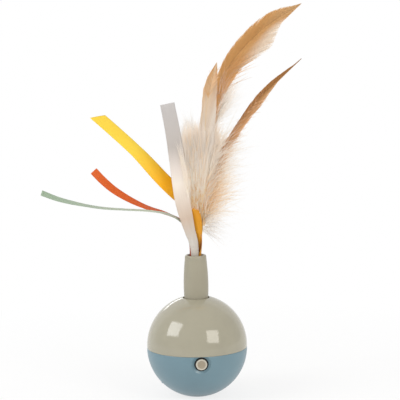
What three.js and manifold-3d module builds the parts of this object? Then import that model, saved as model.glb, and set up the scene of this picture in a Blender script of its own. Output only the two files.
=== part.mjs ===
// Spinning ball cat toy: a weighted ball with a motor inside turns a neck that holds feathers and ribbons.
// Millimetres, +Z up, origin at the middle of the flat foot. The push button faces -Y.
import * as THREE from 'three';
import { mergeVertices } from 'three/addons/utils/BufferGeometryUtils.js';
import Module from 'manifold-3d';

// Ball
const BALL_RADIUS = 30;
const SHELL_WALL = 2;
const FOOT_RADIUS = 6;
const BAND_HEIGHT = 1.2;
const LIP_HEIGHT = 2;
const BOSS_REACH = 18.5;
const BOSS_RADIUS = 3;
const BOSS_SEAT = 6;

// Clearances
const FIT_GAP = 0.3;
const RUN_GAP = 0.4;
const NECK_GAP = 0.75;

// Neck
const NECK_RISE = 24.6;
const NECK_BASE_RADIUS = 7.2;
const NECK_TOP_RADIUS = 6.3;
const NECK_SWELL = 0.2;
const NECK_MOUTH_WALL = 1;
const NECK_FLOOR = 2.5;
const FLANGE_WIDTH = 1.1;
const FLANGE_HEIGHT = 1.5;
const PLUG_HEIGHT = 9;
const ROOT_DEPTH = 6;

// Gears
const GEAR_MODULE = 0.5;
const PRESSURE_ANGLE = THREE.MathUtils.degToRad(20);
const TOOTH_SHIFT = 0.41;
const BACKLASH = 0.14;
const PINION_TEETH = 10;
const LARGE_TEETH = 36;
const SMALL_TEETH = 10;
const OUTPUT_TEETH = 40;
const GEAR_WIDTH = 3;
const LEVEL_GAP = 0.6;
const IDLER_BEARING = THREE.MathUtils.degToRad(-52);
const PINION_BEARING = THREE.MathUtils.degToRad(180);
const SPINDLE_RADIUS = 3;
const JOURNAL_RADIUS = 2;
const AXLE_RADIUS = 1;
const HEX_ACROSS_FLATS = 5;
const HEX_HEIGHT = 6;
const BUSH_WALL = 1;
const BUSH_RIM = 0.8;

// Chassis and gear cover
const CHASSIS_THICKNESS = 2;
const CHASSIS_INSET = 3;
const COVER_THICKNESS = 1.5;
const COVER_RIM = 2.6;
const PILLAR_RADIUS = 1.8;
const PILLAR_GAP = 0.5;
const PILLAR_BEARINGS = [15, 90, 205].map(THREE.MathUtils.degToRad);

// Motor
const MOTOR_WIDTH = 8;
const MOTOR_DEPTH = 10;
const MOTOR_LENGTH = 12;
const MOTOR_WALL = 0.6;
const MOTOR_TOP_WALL = 1.5;
const ENDCAP_HEIGHT = 2;
const SHAFT_RADIUS = 0.75;
const MOTOR_SCREW_REACH = 3.4;

// Ballast
const BALLAST_HEIGHT = 8.5;
const BALLAST_GAP = 0.5;
const BALLAST_WEB = 1.5;
const POST_RADIUS = 3;

// Push button, switch and circuit board
const BUTTON_RADIUS = 3.3;
const BUTTON_GAP = 0.8;
const BUTTON_DROP = 4.6;
const BUTTON_TRAVEL = 1;
const BUTTON_FLANGE_WIDTH = 0.6;
const BUTTON_FLANGE_HEIGHT = 1;
const BUTTON_SINK = 0.3;
const BUTTON_HOLLOW = 0.4;
const DISH_RADIUS = 5.4;
const DISH_DEPTH = 0.7;
const SWITCH_SIZE = 4;
const SWITCH_DEPTH = 3;
const PLUNGER_RADIUS = 1.2;
const PLUNGER_ENTRY = 0.6;
const BOARD_WIDTH = 16;
const BOARD_HEIGHT = 10;
const BOARD_THICKNESS = 1.2;
const RAIL_WALL = 1.4;
const CHIP_SIZE = 5;
const CHIP_HEIGHT = 1;

// Batteries and hatch
const CELL_RADIUS = 5.8;
const CELL_HEIGHT = 5.4;
const CELL_COUNT = 3;
const TUBE_WALL = 1.2;
const TUBE_END = 1.2;
const DOOR_LEDGE = 0.8;
const COLLAR_WALL = 0.8;
const EAR_RADIUS = 2.8;
const EAR_REACH = 9.4;
const DOOR_SKIN = 1.2;
const CONTACT_THICKNESS = 0.4;
const SIDE_CONTACT_WIDTH = 2;
const SPRING_TURNS = 4;
const SPRING_WIRE = 0.6;
const SPRING_HEIGHT = 3.4;
const SPRING_RADIUS = 3.6;
const WIRE_RADIUS = 0.4;

// Screws: shank radius, head radius and head height
const SHELL_SCREW = { shank: 1.1, head: 2.1, height: 1.8, grip: 18 };
const COVER_SCREW = { shank: 0.8, head: 1.6, height: 1, grip: 6 };
const MOTOR_SCREW = { shank: 0.6, head: 1.2, height: 0.7, grip: 3 };
const BALLAST_SCREW = { shank: 1.1, head: 2.2, height: 1.4, grip: 5 };
const NECK_SCREW = { shank: 0.9, head: 1.9, height: 1.3, grip: 6 };
const DOOR_SCREW = { shank: 0.9, head: 1.6, height: 1.2, grip: 7 };

// Facets
const ROUND_STEPS = 28;
const SMALL_STEPS = 10;
const MIDDLE_STEPS = 16;
const ARC_STEPS = 6;
const FLANK_STEPS = 2;
const TUBE_SIDES = 6;
const NECK_STEPS = 7;
const LIP_STEPS = 3;
const CORNER_STEPS = 4;
const WIRE_STEPS = 12;

// Feathers and ribbons: points are x, y and the height over the neck's mouth
const QUILL_RADIUS = 0.55;
const VANE_THICKNESS = 0.5;
const RIBBON_THICKNESS = 0.4;
const LOFT_STEPS = 26;

const COLOURS = {
  upper: 0xaea996,
  lower: 0x70899a,
  neck: 0xaaa491,
  button: 0xa89c88,
  glue: 0xd8cfb8,
  steel: 0x9a9da0,
  dark_steel: 0x5c5f63,
  brass: 0xb8924a,
  white_plastic: 0xe4e0d4,
  black_plastic: 0x232427,
  board_green: 0x2d5a3c,
  red: 0xa02820,
  black: 0x1c1c1c,
  tan: 0xc1925f,
  cream: 0xdccbb2,
  brown: 0x9a6a40,
  yellow: 0xf2c832,
  white: 0xece6e0,
  orange: 0xd96633,
  green: 0xa9c0a2,
};

const wasm = await Module();
wasm.setup();

// Places worked out from the sizes above. Heights are measured from the seam between the two shells.
const INNER_RADIUS = BALL_RADIUS - SHELL_WALL;
const FOOT_Z = -Math.sqrt(BALL_RADIUS ** 2 - FOOT_RADIUS ** 2);
const SEAM_Z = -FOOT_Z;
const CHASSIS_BOTTOM = -CHASSIS_THICKNESS;

const HOLE_RADIUS = NECK_BASE_RADIUS + NECK_GAP;
const FLANGE_RADIUS = HOLE_RADIUS + FLANGE_WIDTH;
const FLANGE_TOP = BAND_HEIGHT + Math.sqrt(INNER_RADIUS ** 2 - FLANGE_RADIUS ** 2) - RUN_GAP;
const NECK_BOTTOM = FLANGE_TOP - FLANGE_HEIGHT;
const HOLE_Z = BAND_HEIGHT + Math.sqrt(BALL_RADIUS ** 2 - HOLE_RADIUS ** 2);
const NECK_TOP = HOLE_Z + NECK_RISE;
const NECK_BORE = NECK_TOP_RADIUS - NECK_MOUTH_WALL;
const FLOOR_Z = NECK_BOTTOM + HEX_HEIGHT + FIT_GAP + NECK_FLOOR;
const PLUG_BOTTOM = FLOOR_Z + NECK_SCREW.height + FIT_GAP;
const PLUG_TOP = PLUG_BOTTOM + PLUG_HEIGHT;

const LARGE_Z = BUSH_RIM + RUN_GAP;
const LARGE_TOP = LARGE_Z + GEAR_WIDTH;
const OUTPUT_Z = LARGE_TOP + LEVEL_GAP;
const OUTPUT_TOP = OUTPUT_Z + GEAR_WIDTH;
const COVER_Z = OUTPUT_TOP + LEVEL_GAP;
const COVER_TOP = COVER_Z + COVER_THICKNESS;
const largeTip = tipRadius(LARGE_TEETH, -TOOTH_SHIFT);
const outputTip = tipRadius(OUTPUT_TEETH, -TOOTH_SHIFT);
const idlerDistance = GEAR_MODULE * (SMALL_TEETH + OUTPUT_TEETH) / 2;
const pinionDistance = GEAR_MODULE * (PINION_TEETH + LARGE_TEETH) / 2;
const idlerAt = polar(0, 0, idlerDistance, IDLER_BEARING);
const motorAt = polar(idlerAt.x, idlerAt.y, pinionDistance, PINION_BEARING);
const HUB_RADIUS = idlerDistance - largeTip - RUN_GAP;
const MOTOR_BOTTOM = CHASSIS_BOTTOM - MOTOR_LENGTH;
const underMotorZ = MOTOR_BOTTOM - FIT_GAP - 6 * WIRE_RADIUS;

const pillarReach = outputTip + PILLAR_GAP + PILLAR_RADIUS;
const pillarPlaces = [
  polar(idlerAt.x, idlerAt.y, largeTip + PILLAR_GAP + PILLAR_RADIUS, PILLAR_BEARINGS[0]),
  polar(0, 0, pillarReach, PILLAR_BEARINGS[1]),
  polar(0, 0, pillarReach, PILLAR_BEARINGS[2]),
];
const bossPlaces = [new THREE.Vector2(-BOSS_REACH, 0), new THREE.Vector2(BOSS_REACH, 0)];
const SCREW_SEAT = CHASSIS_BOTTOM - BOSS_SEAT;

const BUTTON_Z = -BUTTON_DROP;
const BUTTON_HOLE = BUTTON_RADIUS + BUTTON_GAP;
const BUTTON_FLANGE = BUTTON_HOLE + BUTTON_FLANGE_WIDTH;
const buttonFlangeY = -Math.sqrt(INNER_RADIUS ** 2 - (BUTTON_DROP + BUTTON_FLANGE) ** 2) + FIT_GAP;
const buttonBackY = buttonFlangeY + BUTTON_FLANGE_HEIGHT;
const switchY = buttonBackY + BUTTON_TRAVEL + RUN_GAP;
const boardY = switchY + SWITCH_DEPTH;
const boardBackY = boardY + BOARD_THICKNESS;
const BOARD_TOP = CHASSIS_BOTTOM - FIT_GAP;

const BORE_RADIUS = CELL_RADIUS + FIT_GAP;
const TUBE_RADIUS = BORE_RADIUS + TUBE_WALL;
const DOOR_RADIUS = BORE_RADIUS + DOOR_LEDGE;
const COLLAR_GROW = FIT_GAP + COLLAR_WALL;
const BATTERY_Z = CHASSIS_BOTTOM - FIT_GAP - DOOR_RADIUS - COLLAR_GROW;
const doorY = Math.sqrt(INNER_RADIUS ** 2 - (DOOR_RADIUS - BATTERY_Z) ** 2);
const cellsEndY = doorY - FIT_GAP;
const cellsStartY = cellsEndY - CELL_COUNT * CELL_HEIGHT;
const springY = cellsStartY - FIT_GAP - SPRING_HEIGHT;
const boreY = springY - FIT_GAP;
const tubeY = boreY - TUBE_END;
const sideContactZ = BATTERY_Z - BORE_RADIUS - CONTACT_THICKNESS;

const BALLAST_TOP = -INNER_RADIUS + BALLAST_HEIGHT;
const BALLAST_SEAT = BATTERY_Z - TUBE_RADIUS - BALLAST_GAP - BALLAST_SCREW.height;
const BALLAST_RADIUS = BOSS_REACH - BOSS_RADIUS - 2 * FIT_GAP;

// Geometry helpers

function polar(x, y, distance, bearing) {
  return new THREE.Vector2(x + distance * Math.cos(bearing), y + distance * Math.sin(bearing));
}

function signedVolume(position, index) {
  const corner = [new THREE.Vector3(), new THREE.Vector3(), new THREE.Vector3()];
  let sum = 0;
  for (let i = 0; i < index.length; i += 3) {
    corner.forEach((point, k) => point.fromBufferAttribute(position, index[i + k]));
    sum += corner[0].dot(corner[1].cross(corner[2]));
  }
  return sum / 6;
}

// One closed body with shared corners and its faces pointing out
function closed(geometry) {
  geometry.deleteAttribute('normal');
  geometry.deleteAttribute('uv');
  const merged = mergeVertices(geometry, 1e-4);
  const from = merged.index.array;
  const index = [];
  for (let i = 0; i < from.length; i += 3) {
    const [a, b, c] = [from[i], from[i + 1], from[i + 2]];
    if (a !== b && b !== c && c !== a) index.push(a, b, c);
  }
  if (signedVolume(merged.getAttribute('position'), index) < 0) index.reverse();
  merged.setIndex(index);
  return merged;
}

function toSolid(geometry) {
  return new wasm.Manifold(new wasm.Mesh({
    numProp: 3,
    vertProperties: new Float32Array(geometry.getAttribute('position').array),
    triVerts: new Uint32Array(geometry.index.array),
  }));
}

function toGeometry(solid) {
  const { vertProperties, triVerts } = solid.getMesh();
  const geometry = new THREE.BufferGeometry();
  geometry.setAttribute('position', new THREE.BufferAttribute(new Float32Array(vertProperties), 3));
  geometry.setIndex(new THREE.BufferAttribute(new Uint32Array(triVerts), 1));
  return geometry;
}

function combine(operation, first, others) {
  return toGeometry(others.reduce((sum, next) => sum[operation](toSolid(next)), toSolid(first)));
}

const join = (first, ...others) => combine('add', first, others);
const cut = (first, ...others) => combine('subtract', first, others);
const common = (first, ...others) => combine('intersect', first, others);

// A profile of radius and height pairs, turned about Z
function revolve(profile, steps = ROUND_STEPS) {
  const points = profile.map(([radius, height]) => new THREE.Vector2(radius, height));
  const last = points[points.length - 1];
  if (points[0].x > 0 || last.x > 0) points.push(points[0].clone());
  return closed(new THREE.LatheGeometry(points, steps).rotateX(Math.PI / 2));
}

function prism(shape, bottom, top, curveSegments = SMALL_STEPS) {
  const options = { depth: top - bottom, bevelEnabled: false, curveSegments };
  return closed(new THREE.ExtrudeGeometry(shape, options).translate(0, 0, bottom));
}

function rod(radius, bottom, top, at = { x: 0, y: 0 }, steps = SMALL_STEPS) {
  const geometry = new THREE.CylinderGeometry(radius, radius, top - bottom, steps).rotateX(Math.PI / 2);
  return closed(geometry.translate(at.x, at.y, (bottom + top) / 2));
}

// A rod along Y, placed by its X and Z
function rodAlongY(radius, front, back, x, z, steps = ROUND_STEPS) {
  const geometry = new THREE.CylinderGeometry(radius, radius, back - front, steps);
  return closed(geometry.translate(x, (front + back) / 2, z));
}

function block(xs, ys, zs) {
  const sizes = [xs, ys, zs].map(([low, high]) => high - low);
  const middles = [xs, ys, zs].map(([low, high]) => (low + high) / 2);
  return closed(new THREE.BoxGeometry(...sizes).translate(...middles));
}

// Profile points of an arc whose middle lies at a height and a reach from the axis
function arc(radius, height, from, to, steps = ARC_STEPS, reach = 0) {
  return Array.from({ length: steps + 1 }, (_, i) => {
    const angle = from + (to - from) * i / steps;
    return [Math.max(0, reach + radius * Math.cos(angle)), height + radius * Math.sin(angle)];
  });
}

function sphere(radius, height) {
  return revolve(arc(radius, height, -Math.PI / 2, Math.PI / 2, 2 * ARC_STEPS));
}

// A tube of round section along a curve
function tube(radius, curve, steps) {
  const step = 2 * Math.PI / TUBE_SIDES;
  const sides = Array.from({ length: TUBE_SIDES }, (_, i) => polar(0, 0, radius, step * i));
  const section = new THREE.Shape(sides);
  const options = { steps, extrudePath: curve, bevelEnabled: false };
  return closed(new THREE.ExtrudeGeometry(section, options));
}

// A solid through sections that all have the same number of points
function loft(sections) {
  const count = sections[0].length;
  const points = sections.flat();
  const geometry = new THREE.BufferGeometry().setFromPoints(points);
  const index = [];
  for (let s = 0; s + 1 < sections.length; s += 1) {
    for (let i = 0; i < count; i += 1) {
      const a = s * count + i;
      const b = s * count + (i + 1) % count;
      index.push(a, b, b + count, a, b + count, a + count);
    }
  }
  const end = (sections.length - 1) * count;
  for (let i = 1; i + 1 < count; i += 1) {
    index.push(0, i + 1, i, end, end + i, end + i + 1);
  }
  geometry.setIndex(index);
  return closed(geometry);
}

function mesh(name, geometry, colour, roughness = 0.5, metalness = 0) {
  const material = new THREE.MeshStandardMaterial({ color: colour, roughness, metalness });
  const piece = new THREE.Mesh(geometry, material);
  piece.name = name;
  return piece;
}

// Screws: the head's underside is at the seat, and the shank runs up from it
function screw(kind, seat, at = { x: 0, y: 0 }) {
  const head = rod(kind.head, seat - kind.height, seat, at);
  const shank = rod(kind.shank, seat - kind.height / 2, seat + kind.grip, at);
  const recess = rod(kind.shank * 0.8, seat - kind.height, seat - kind.height / 2, at, 6);
  return cut(join(head, shank), recess);
}

function screwFromAbove(kind, seat, at = { x: 0, y: 0 }) {
  const geometry = screw(kind, 0).rotateX(Math.PI);
  return geometry.translate(at.x, at.y, seat);
}

// Ball shells

function lipRadii() {
  const inner = INNER_RADIUS;
  const outer = INNER_RADIUS + (SHELL_WALL - FIT_GAP) / 2;
  return { inner, outer };
}

function bossInside(radius, bottom, top, at, height) {
  return common(rod(radius, bottom, top, at), sphere(BALL_RADIUS - SHELL_WALL / 2, height));
}

function upperShell() {
  const rabbet = lipRadii().outer + FIT_GAP;
  const rabbetTop = LIP_HEIGHT + FIT_GAP;
  const holeOut = Math.acos(HOLE_RADIUS / BALL_RADIUS);
  const holeIn = Math.acos(HOLE_RADIUS / INNER_RADIUS);
  const ledge = Math.asin((rabbetTop - BAND_HEIGHT) / INNER_RADIUS);
  const dome = revolve([
    [rabbet, 0],
    [BALL_RADIUS, 0],
    ...arc(BALL_RADIUS, BAND_HEIGHT, 0, holeOut),
    ...arc(INNER_RADIUS, BAND_HEIGHT, holeIn, ledge),
    [rabbet, rabbetTop],
  ]);
  const bosses = bossPlaces.map((at) => bossInside(BOSS_RADIUS, 0, BALL_RADIUS, at, BAND_HEIGHT));
  const depth = SHELL_SCREW.grip - BOSS_SEAT - CHASSIS_THICKNESS + 1;
  const pilots = bossPlaces.map((at) => rod(SHELL_SCREW.shank + FIT_GAP, -1, depth, at));
  return cut(join(dome, ...bosses), ...pilots);
}

function lowerBowl() {
  const { inner, outer } = lipRadii();
  const foot = -Math.acos(FOOT_RADIUS / BALL_RADIUS);
  return revolve([
    [0, FOOT_Z],
    ...arc(BALL_RADIUS, 0, foot, 0),
    [outer, 0],
    [outer, LIP_HEIGHT],
    [inner, LIP_HEIGHT],
    ...arc(INNER_RADIUS, 0, 0, -Math.PI / 2),
  ]);
}

// The hatch outline is a disc with a round-ended screw ear beside it
function hatchBlank(grow, front, back) {
  const disc = rodAlongY(DOOR_RADIUS + grow, front, back, 0, BATTERY_Z);
  const half = (EAR_RADIUS + grow) * Math.cos(Math.PI / SMALL_STEPS);
  const ear = block([0, EAR_REACH], [front, back], [BATTERY_Z - half, BATTERY_Z + half]);
  return join(disc, ear, rodAlongY(EAR_RADIUS + grow, front, back, EAR_REACH, BATTERY_Z, SMALL_STEPS));
}

function batteryTube() {
  const wall = sphere(BALL_RADIUS - SHELL_WALL / 2, 0);
  const tubeBody = rodAlongY(TUBE_RADIUS, tubeY, BALL_RADIUS, 0, BATTERY_Z);
  const collar = hatchBlank(COLLAR_GROW, doorY - 2 * TUBE_WALL, BALL_RADIUS);
  const earBoss = rodAlongY(
    EAR_RADIUS, doorY - DOOR_SCREW.grip, BALL_RADIUS, EAR_REACH, BATTERY_Z, SMALL_STEPS);
  return common(join(tubeBody, collar, earBoss), wall);
}

function doorScrewSeat() {
  return doorY + DOOR_SKIN;
}

function lowerShell() {
  const bosses = bossPlaces.map((at) => (
    bossInside(BOSS_RADIUS + FIT_GAP, -BALL_RADIUS, CHASSIS_BOTTOM, at, 0)));
  const post = rod(POST_RADIUS, -INNER_RADIUS - SHELL_WALL / 4, BALLAST_SEAT - BALLAST_WEB);
  const pockets = bossPlaces.map((at) => rod(SHELL_SCREW.head + FIT_GAP, -BALL_RADIUS - 1, SCREW_SEAT, at));
  const shanks = bossPlaces.map((at) => rod(SHELL_SCREW.shank + FIT_GAP, SCREW_SEAT - 1, 0, at));
  const ballastPilot = rod(
    BALLAST_SCREW.shank + FIT_GAP, BALLAST_SEAT - BALLAST_SCREW.grip - FIT_GAP, BALLAST_SEAT);
  const buttonHole = rodAlongY(BUTTON_HOLE, -BALL_RADIUS - 1, buttonBackY, 0, BUTTON_Z, MIDDLE_STEPS);
  const bore = rodAlongY(BORE_RADIUS, boreY, BALL_RADIUS + 1, 0, BATTERY_Z);
  const pocket = hatchBlank(FIT_GAP, doorY, BALL_RADIUS + 1);
  const doorPilot = rodAlongY(
    DOOR_SCREW.shank + FIT_GAP, doorScrewSeat() - DOOR_SCREW.grip - FIT_GAP, doorY + 1,
    EAR_REACH, BATTERY_Z, SMALL_STEPS);
  const groove = block(
    [-SIDE_CONTACT_WIDTH / 2 - FIT_GAP, SIDE_CONTACT_WIDTH / 2 + FIT_GAP],
    [boreY, doorY + FIT_GAP],
    [sideContactZ - FIT_GAP, BATTERY_Z]);
  const wireHole = rodAlongY(WIRE_RADIUS + FIT_GAP, tubeY - 1, boreY + 1, 0, BATTERY_Z, SMALL_STEPS);
  const groovePort = rodAlongY(
    WIRE_RADIUS + FIT_GAP, tubeY - 1, boreY + 1, 0, sideContactZ + CONTACT_THICKNESS, SMALL_STEPS);
  return cut(
    join(lowerBowl(), ...bosses, post, batteryTube()),
    ...pockets, ...shanks, ballastPilot, buttonHole, buttonDish(), bore, pocket, doorPilot, groove,
    wireHole, groovePort);
}

// A shallow cone sunk round the button's hole
function buttonDish() {
  const surface = Math.sqrt(BALL_RADIUS ** 2 - BUTTON_DROP ** 2);
  const outer = 2 * DISH_RADIUS - BUTTON_HOLE;
  const cone = new THREE.CylinderGeometry(BUTTON_HOLE, outer, 2 * DISH_DEPTH, MIDDLE_STEPS);
  return closed(cone.translate(0, -surface, BUTTON_Z));
}

// Ballast

function ballast() {
  const radius = INNER_RADIUS - FIT_GAP;
  const corner = -Math.acos(BALLAST_RADIUS / radius);
  const cup = POST_RADIUS + FIT_GAP;
  const web = BALLAST_SEAT - BALLAST_WEB;
  const hole = BALLAST_SCREW.shank + FIT_GAP;
  const weight = revolve([
    [hole, web],
    [cup, web],
    ...arc(radius, 0, -Math.acos(cup / radius), corner),
    [BALLAST_RADIUS, BALLAST_TOP],
    [hole, BALLAST_TOP],
  ]);
  const sink = rod(BALLAST_SCREW.head + FIT_GAP, BALLAST_SEAT, BALLAST_TOP + 1);
  const half = TUBE_RADIUS + FIT_GAP;
  const trough = block([-half, half], [-BALL_RADIUS, BALL_RADIUS], [BATTERY_Z - half, BATTERY_Z]);
  return cut(weight, sink, trough);
}

// Gears

function tipRadius(teeth, shift) {
  return GEAR_MODULE * (teeth / 2 + 1 + shift);
}

function involute(angle) {
  return Math.tan(angle) - angle;
}

// An involute gear outline with one tooth centred on the bearing
function gearShape(teeth, shift, bearing) {
  const pitch = GEAR_MODULE * teeth / 2;
  const base = pitch * Math.cos(PRESSURE_ANGLE);
  const root = GEAR_MODULE * (teeth / 2 - 1.25 + shift);
  const tip = tipRadius(teeth, shift);
  const thickness = GEAR_MODULE * (Math.PI / 2 + 2 * shift * Math.tan(PRESSURE_ANGLE)) - BACKLASH / 2;
  const halfAngle = (radius) => {
    const pressure = Math.acos(Math.min(1, base / radius));
    return thickness / (2 * pitch) + involute(PRESSURE_ANGLE) - involute(pressure);
  };
  const start = Math.max(base, root);
  const flank = Array.from({ length: FLANK_STEPS + 1 }, (_, i) => start + (tip - start) * i / FLANK_STEPS);
  const radii = root < base ? [root, ...flank] : flank;
  const points = [];
  for (let tooth = 0; tooth < teeth; tooth += 1) {
    const middle = bearing + 2 * Math.PI * tooth / teeth;
    radii.forEach((r) => points.push(polar(0, 0, r, middle - halfAngle(r))));
    radii.slice().reverse().forEach((r) => points.push(polar(0, 0, r, middle + halfAngle(r))));
  }
  return new THREE.Shape(points);
}

function gear(teeth, shift, bearing, bottom, top) {
  return prism(gearShape(teeth, shift, bearing), bottom, top);
}

function outputGear() {
  const hexRadius = HEX_ACROSS_FLATS / Math.sqrt(3);
  const hexTop = NECK_BOTTOM + HEX_HEIGHT;
  const gap = IDLER_BEARING + Math.PI / OUTPUT_TEETH;
  const whole = join(
    gear(OUTPUT_TEETH, -TOOTH_SHIFT, gap, OUTPUT_Z, OUTPUT_TOP),
    rod(JOURNAL_RADIUS, CHASSIS_BOTTOM, OUTPUT_Z + 1),
    rod(HUB_RADIUS, LARGE_Z, OUTPUT_Z + 1),
    rod(SPINDLE_RADIUS, OUTPUT_Z + 1, NECK_BOTTOM),
    rod(hexRadius, NECK_BOTTOM - 1, hexTop, undefined, 6));
  const pilotDepth = NECK_SCREW.grip - NECK_FLOOR + FIT_GAP;
  return cut(whole, rod(NECK_SCREW.shank + FIT_GAP, hexTop - pilotDepth, hexTop + 1));
}

function idlerGear() {
  const large = gear(LARGE_TEETH, -TOOTH_SHIFT, PINION_BEARING + Math.PI / LARGE_TEETH, LARGE_Z, LARGE_TOP);
  const small = gear(SMALL_TEETH, TOOTH_SHIFT, IDLER_BEARING + Math.PI, LARGE_TOP - 1, OUTPUT_TOP);
  const foot = rod(2 * AXLE_RADIUS, FIT_GAP, LARGE_Z + 1);
  const bore = rod(AXLE_RADIUS + RUN_GAP / 2, -1, OUTPUT_TOP + 1);
  return cut(join(large, small, foot), bore).translate(idlerAt.x, idlerAt.y, 0);
}

function motorPinion() {
  const toothed = gear(PINION_TEETH, TOOTH_SHIFT, PINION_BEARING + Math.PI, LARGE_Z, LARGE_TOP);
  const bore = rod(SHAFT_RADIUS + FIT_GAP, 0, LARGE_TOP + 1);
  return cut(toothed, bore).translate(motorAt.x, motorAt.y, 0);
}

// A bush with its rim resting on the plate's top face
function bush(shaftRadius, bottom, top) {
  const inner = shaftRadius + RUN_GAP / 2;
  const outer = inner + BUSH_WALL;
  const rim = outer + BUSH_RIM;
  return revolve([
    [inner, bottom],
    [outer, bottom],
    [outer, top],
    [rim, top],
    [rim, top + BUSH_RIM],
    [inner, top + BUSH_RIM],
  ], MIDDLE_STEPS);
}

function bushHole(shaftRadius, bottom, top) {
  return rod(shaftRadius + RUN_GAP / 2 + BUSH_WALL + FIT_GAP, bottom - 1, top + 1, undefined, MIDDLE_STEPS);
}

// Chassis and cover

function boardRail(side) {
  const edge = BOARD_WIDTH / 2;
  const spans = (low, high) => (side > 0 ? [low, high] : [-high, -low]);
  const bottom = BOARD_TOP - BOARD_HEIGHT;
  const post = block(
    spans(edge - RAIL_WALL, edge + FIT_GAP + RAIL_WALL),
    [boardY - FIT_GAP - RAIL_WALL, boardBackY + FIT_GAP + RAIL_WALL],
    [bottom, CHASSIS_BOTTOM + CHASSIS_THICKNESS / 2]);
  const slot = block(
    spans(0, edge + FIT_GAP),
    [boardY - FIT_GAP, boardBackY + FIT_GAP],
    [bottom - 1, CHASSIS_BOTTOM]);
  return cut(post, slot);
}

function motorScrewPlaces() {
  return [-1, 1].map((side) => new THREE.Vector2(motorAt.x, motorAt.y + side * MOTOR_SCREW_REACH));
}

function chassis() {
  const plate = rod(INNER_RADIUS - CHASSIS_INSET, CHASSIS_BOTTOM, 0, undefined, ROUND_STEPS);
  const pillars = pillarPlaces.map((at) => rod(PILLAR_RADIUS, -1, COVER_Z, at));
  const pilots = pillarPlaces.map((at) => rod(
    COVER_SCREW.shank + FIT_GAP, COVER_TOP - COVER_SCREW.grip - FIT_GAP, COVER_Z + 1, at));
  const eyelets = bossPlaces.map((at) => rod(SHELL_SCREW.shank + FIT_GAP, -BALL_RADIUS, 1, at));
  const motorHoles = motorScrewPlaces().map((at) => rod(MOTOR_SCREW.shank + FIT_GAP, -BALL_RADIUS, 1, at));
  const notch = block(
    [-BUTTON_FLANGE - RUN_GAP, BUTTON_FLANGE + RUN_GAP],
    [-BALL_RADIUS, boardY],
    [-BALL_RADIUS, 1]);
  return cut(
    join(plate, ...pillars, boardRail(-1), boardRail(1)),
    ...pilots, ...eyelets, ...motorHoles, notch,
    bushHole(JOURNAL_RADIUS, CHASSIS_BOTTOM, 0),
    rod(AXLE_RADIUS + FIT_GAP, -BALL_RADIUS, 1, idlerAt),
    rod(2 * SHAFT_RADIUS, -BALL_RADIUS, 1, motorAt));
}

// The rounded outline round a ring of places, given in anticlockwise order
function roundedOutline(places, radius) {
  const shape = new THREE.Shape();
  places.forEach((at, i) => {
    const before = places[(i + places.length - 1) % places.length];
    const after = places[(i + 1) % places.length];
    const from = Math.atan2(at.y - before.y, at.x - before.x) - Math.PI / 2;
    const to = Math.atan2(after.y - at.y, after.x - at.x) - Math.PI / 2;
    shape.absarc(at.x, at.y, radius, from, to, false);
  });
  return shape;
}

function gearCover() {
  const [right, back, left] = pillarPlaces;
  const outline = roundedOutline([right, back, left, idlerAt], COVER_RIM);
  const plate = prism(outline, COVER_Z, COVER_TOP, CORNER_STEPS);
  const screwHoles = pillarPlaces.map((at) => (
    rod(COVER_SCREW.shank + FIT_GAP, COVER_Z - 1, COVER_TOP + 1, at)));
  const bossNotches = bossPlaces.map((at) => rod(BOSS_RADIUS + FIT_GAP, COVER_Z - 1, COVER_TOP + 1, at));
  return cut(
    plate, ...screwHoles, ...bossNotches,
    bushHole(SPINDLE_RADIUS, COVER_Z, COVER_TOP),
    rod(AXLE_RADIUS + FIT_GAP, COVER_Z - 1, COVER_TOP + 1, idlerAt));
}

// Motor

// A can with two flat sides and two round ones
function canShape(inset) {
  const width = MOTOR_WIDTH / 2 - inset;
  const radius = MOTOR_DEPTH / 2 - inset;
  const flat = Math.acos(width / radius);
  const shape = new THREE.Shape();
  shape.absarc(0, 0, radius, flat, Math.PI - flat);
  shape.absarc(0, 0, radius, Math.PI + flat, 2 * Math.PI - flat);
  return shape;
}

function motorCan() {
  const body = prism(canShape(0), MOTOR_BOTTOM + ENDCAP_HEIGHT, CHASSIS_BOTTOM, CORNER_STEPS);
  const inside = prism(canShape(MOTOR_WALL), MOTOR_BOTTOM, CHASSIS_BOTTOM - MOTOR_TOP_WALL, CORNER_STEPS);
  const shaftHole = rod(SHAFT_RADIUS + FIT_GAP, MOTOR_BOTTOM, 1);
  const screwHoles = [-1, 1].map((side) => rod(
    MOTOR_SCREW.shank + FIT_GAP, -MOTOR_SCREW.grip - FIT_GAP, 1, { x: 0, y: side * MOTOR_SCREW_REACH }));
  return cut(body, inside, shaftHole, ...screwHoles).translate(motorAt.x, motorAt.y, 0);
}

function motorEndcap() {
  const top = MOTOR_BOTTOM + ENDCAP_HEIGHT;
  const body = prism(canShape(0), MOTOR_BOTTOM, top, CORNER_STEPS);
  const half = ENDCAP_HEIGHT / 2;
  const spigot = prism(canShape(MOTOR_WALL + FIT_GAP), top - half, top + half, CORNER_STEPS);
  const bearing = rod(SHAFT_RADIUS + FIT_GAP, top - ENDCAP_HEIGHT / 2 - FIT_GAP, top + ENDCAP_HEIGHT);
  return cut(join(body, spigot), bearing).translate(motorAt.x, motorAt.y, 0);
}

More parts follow.
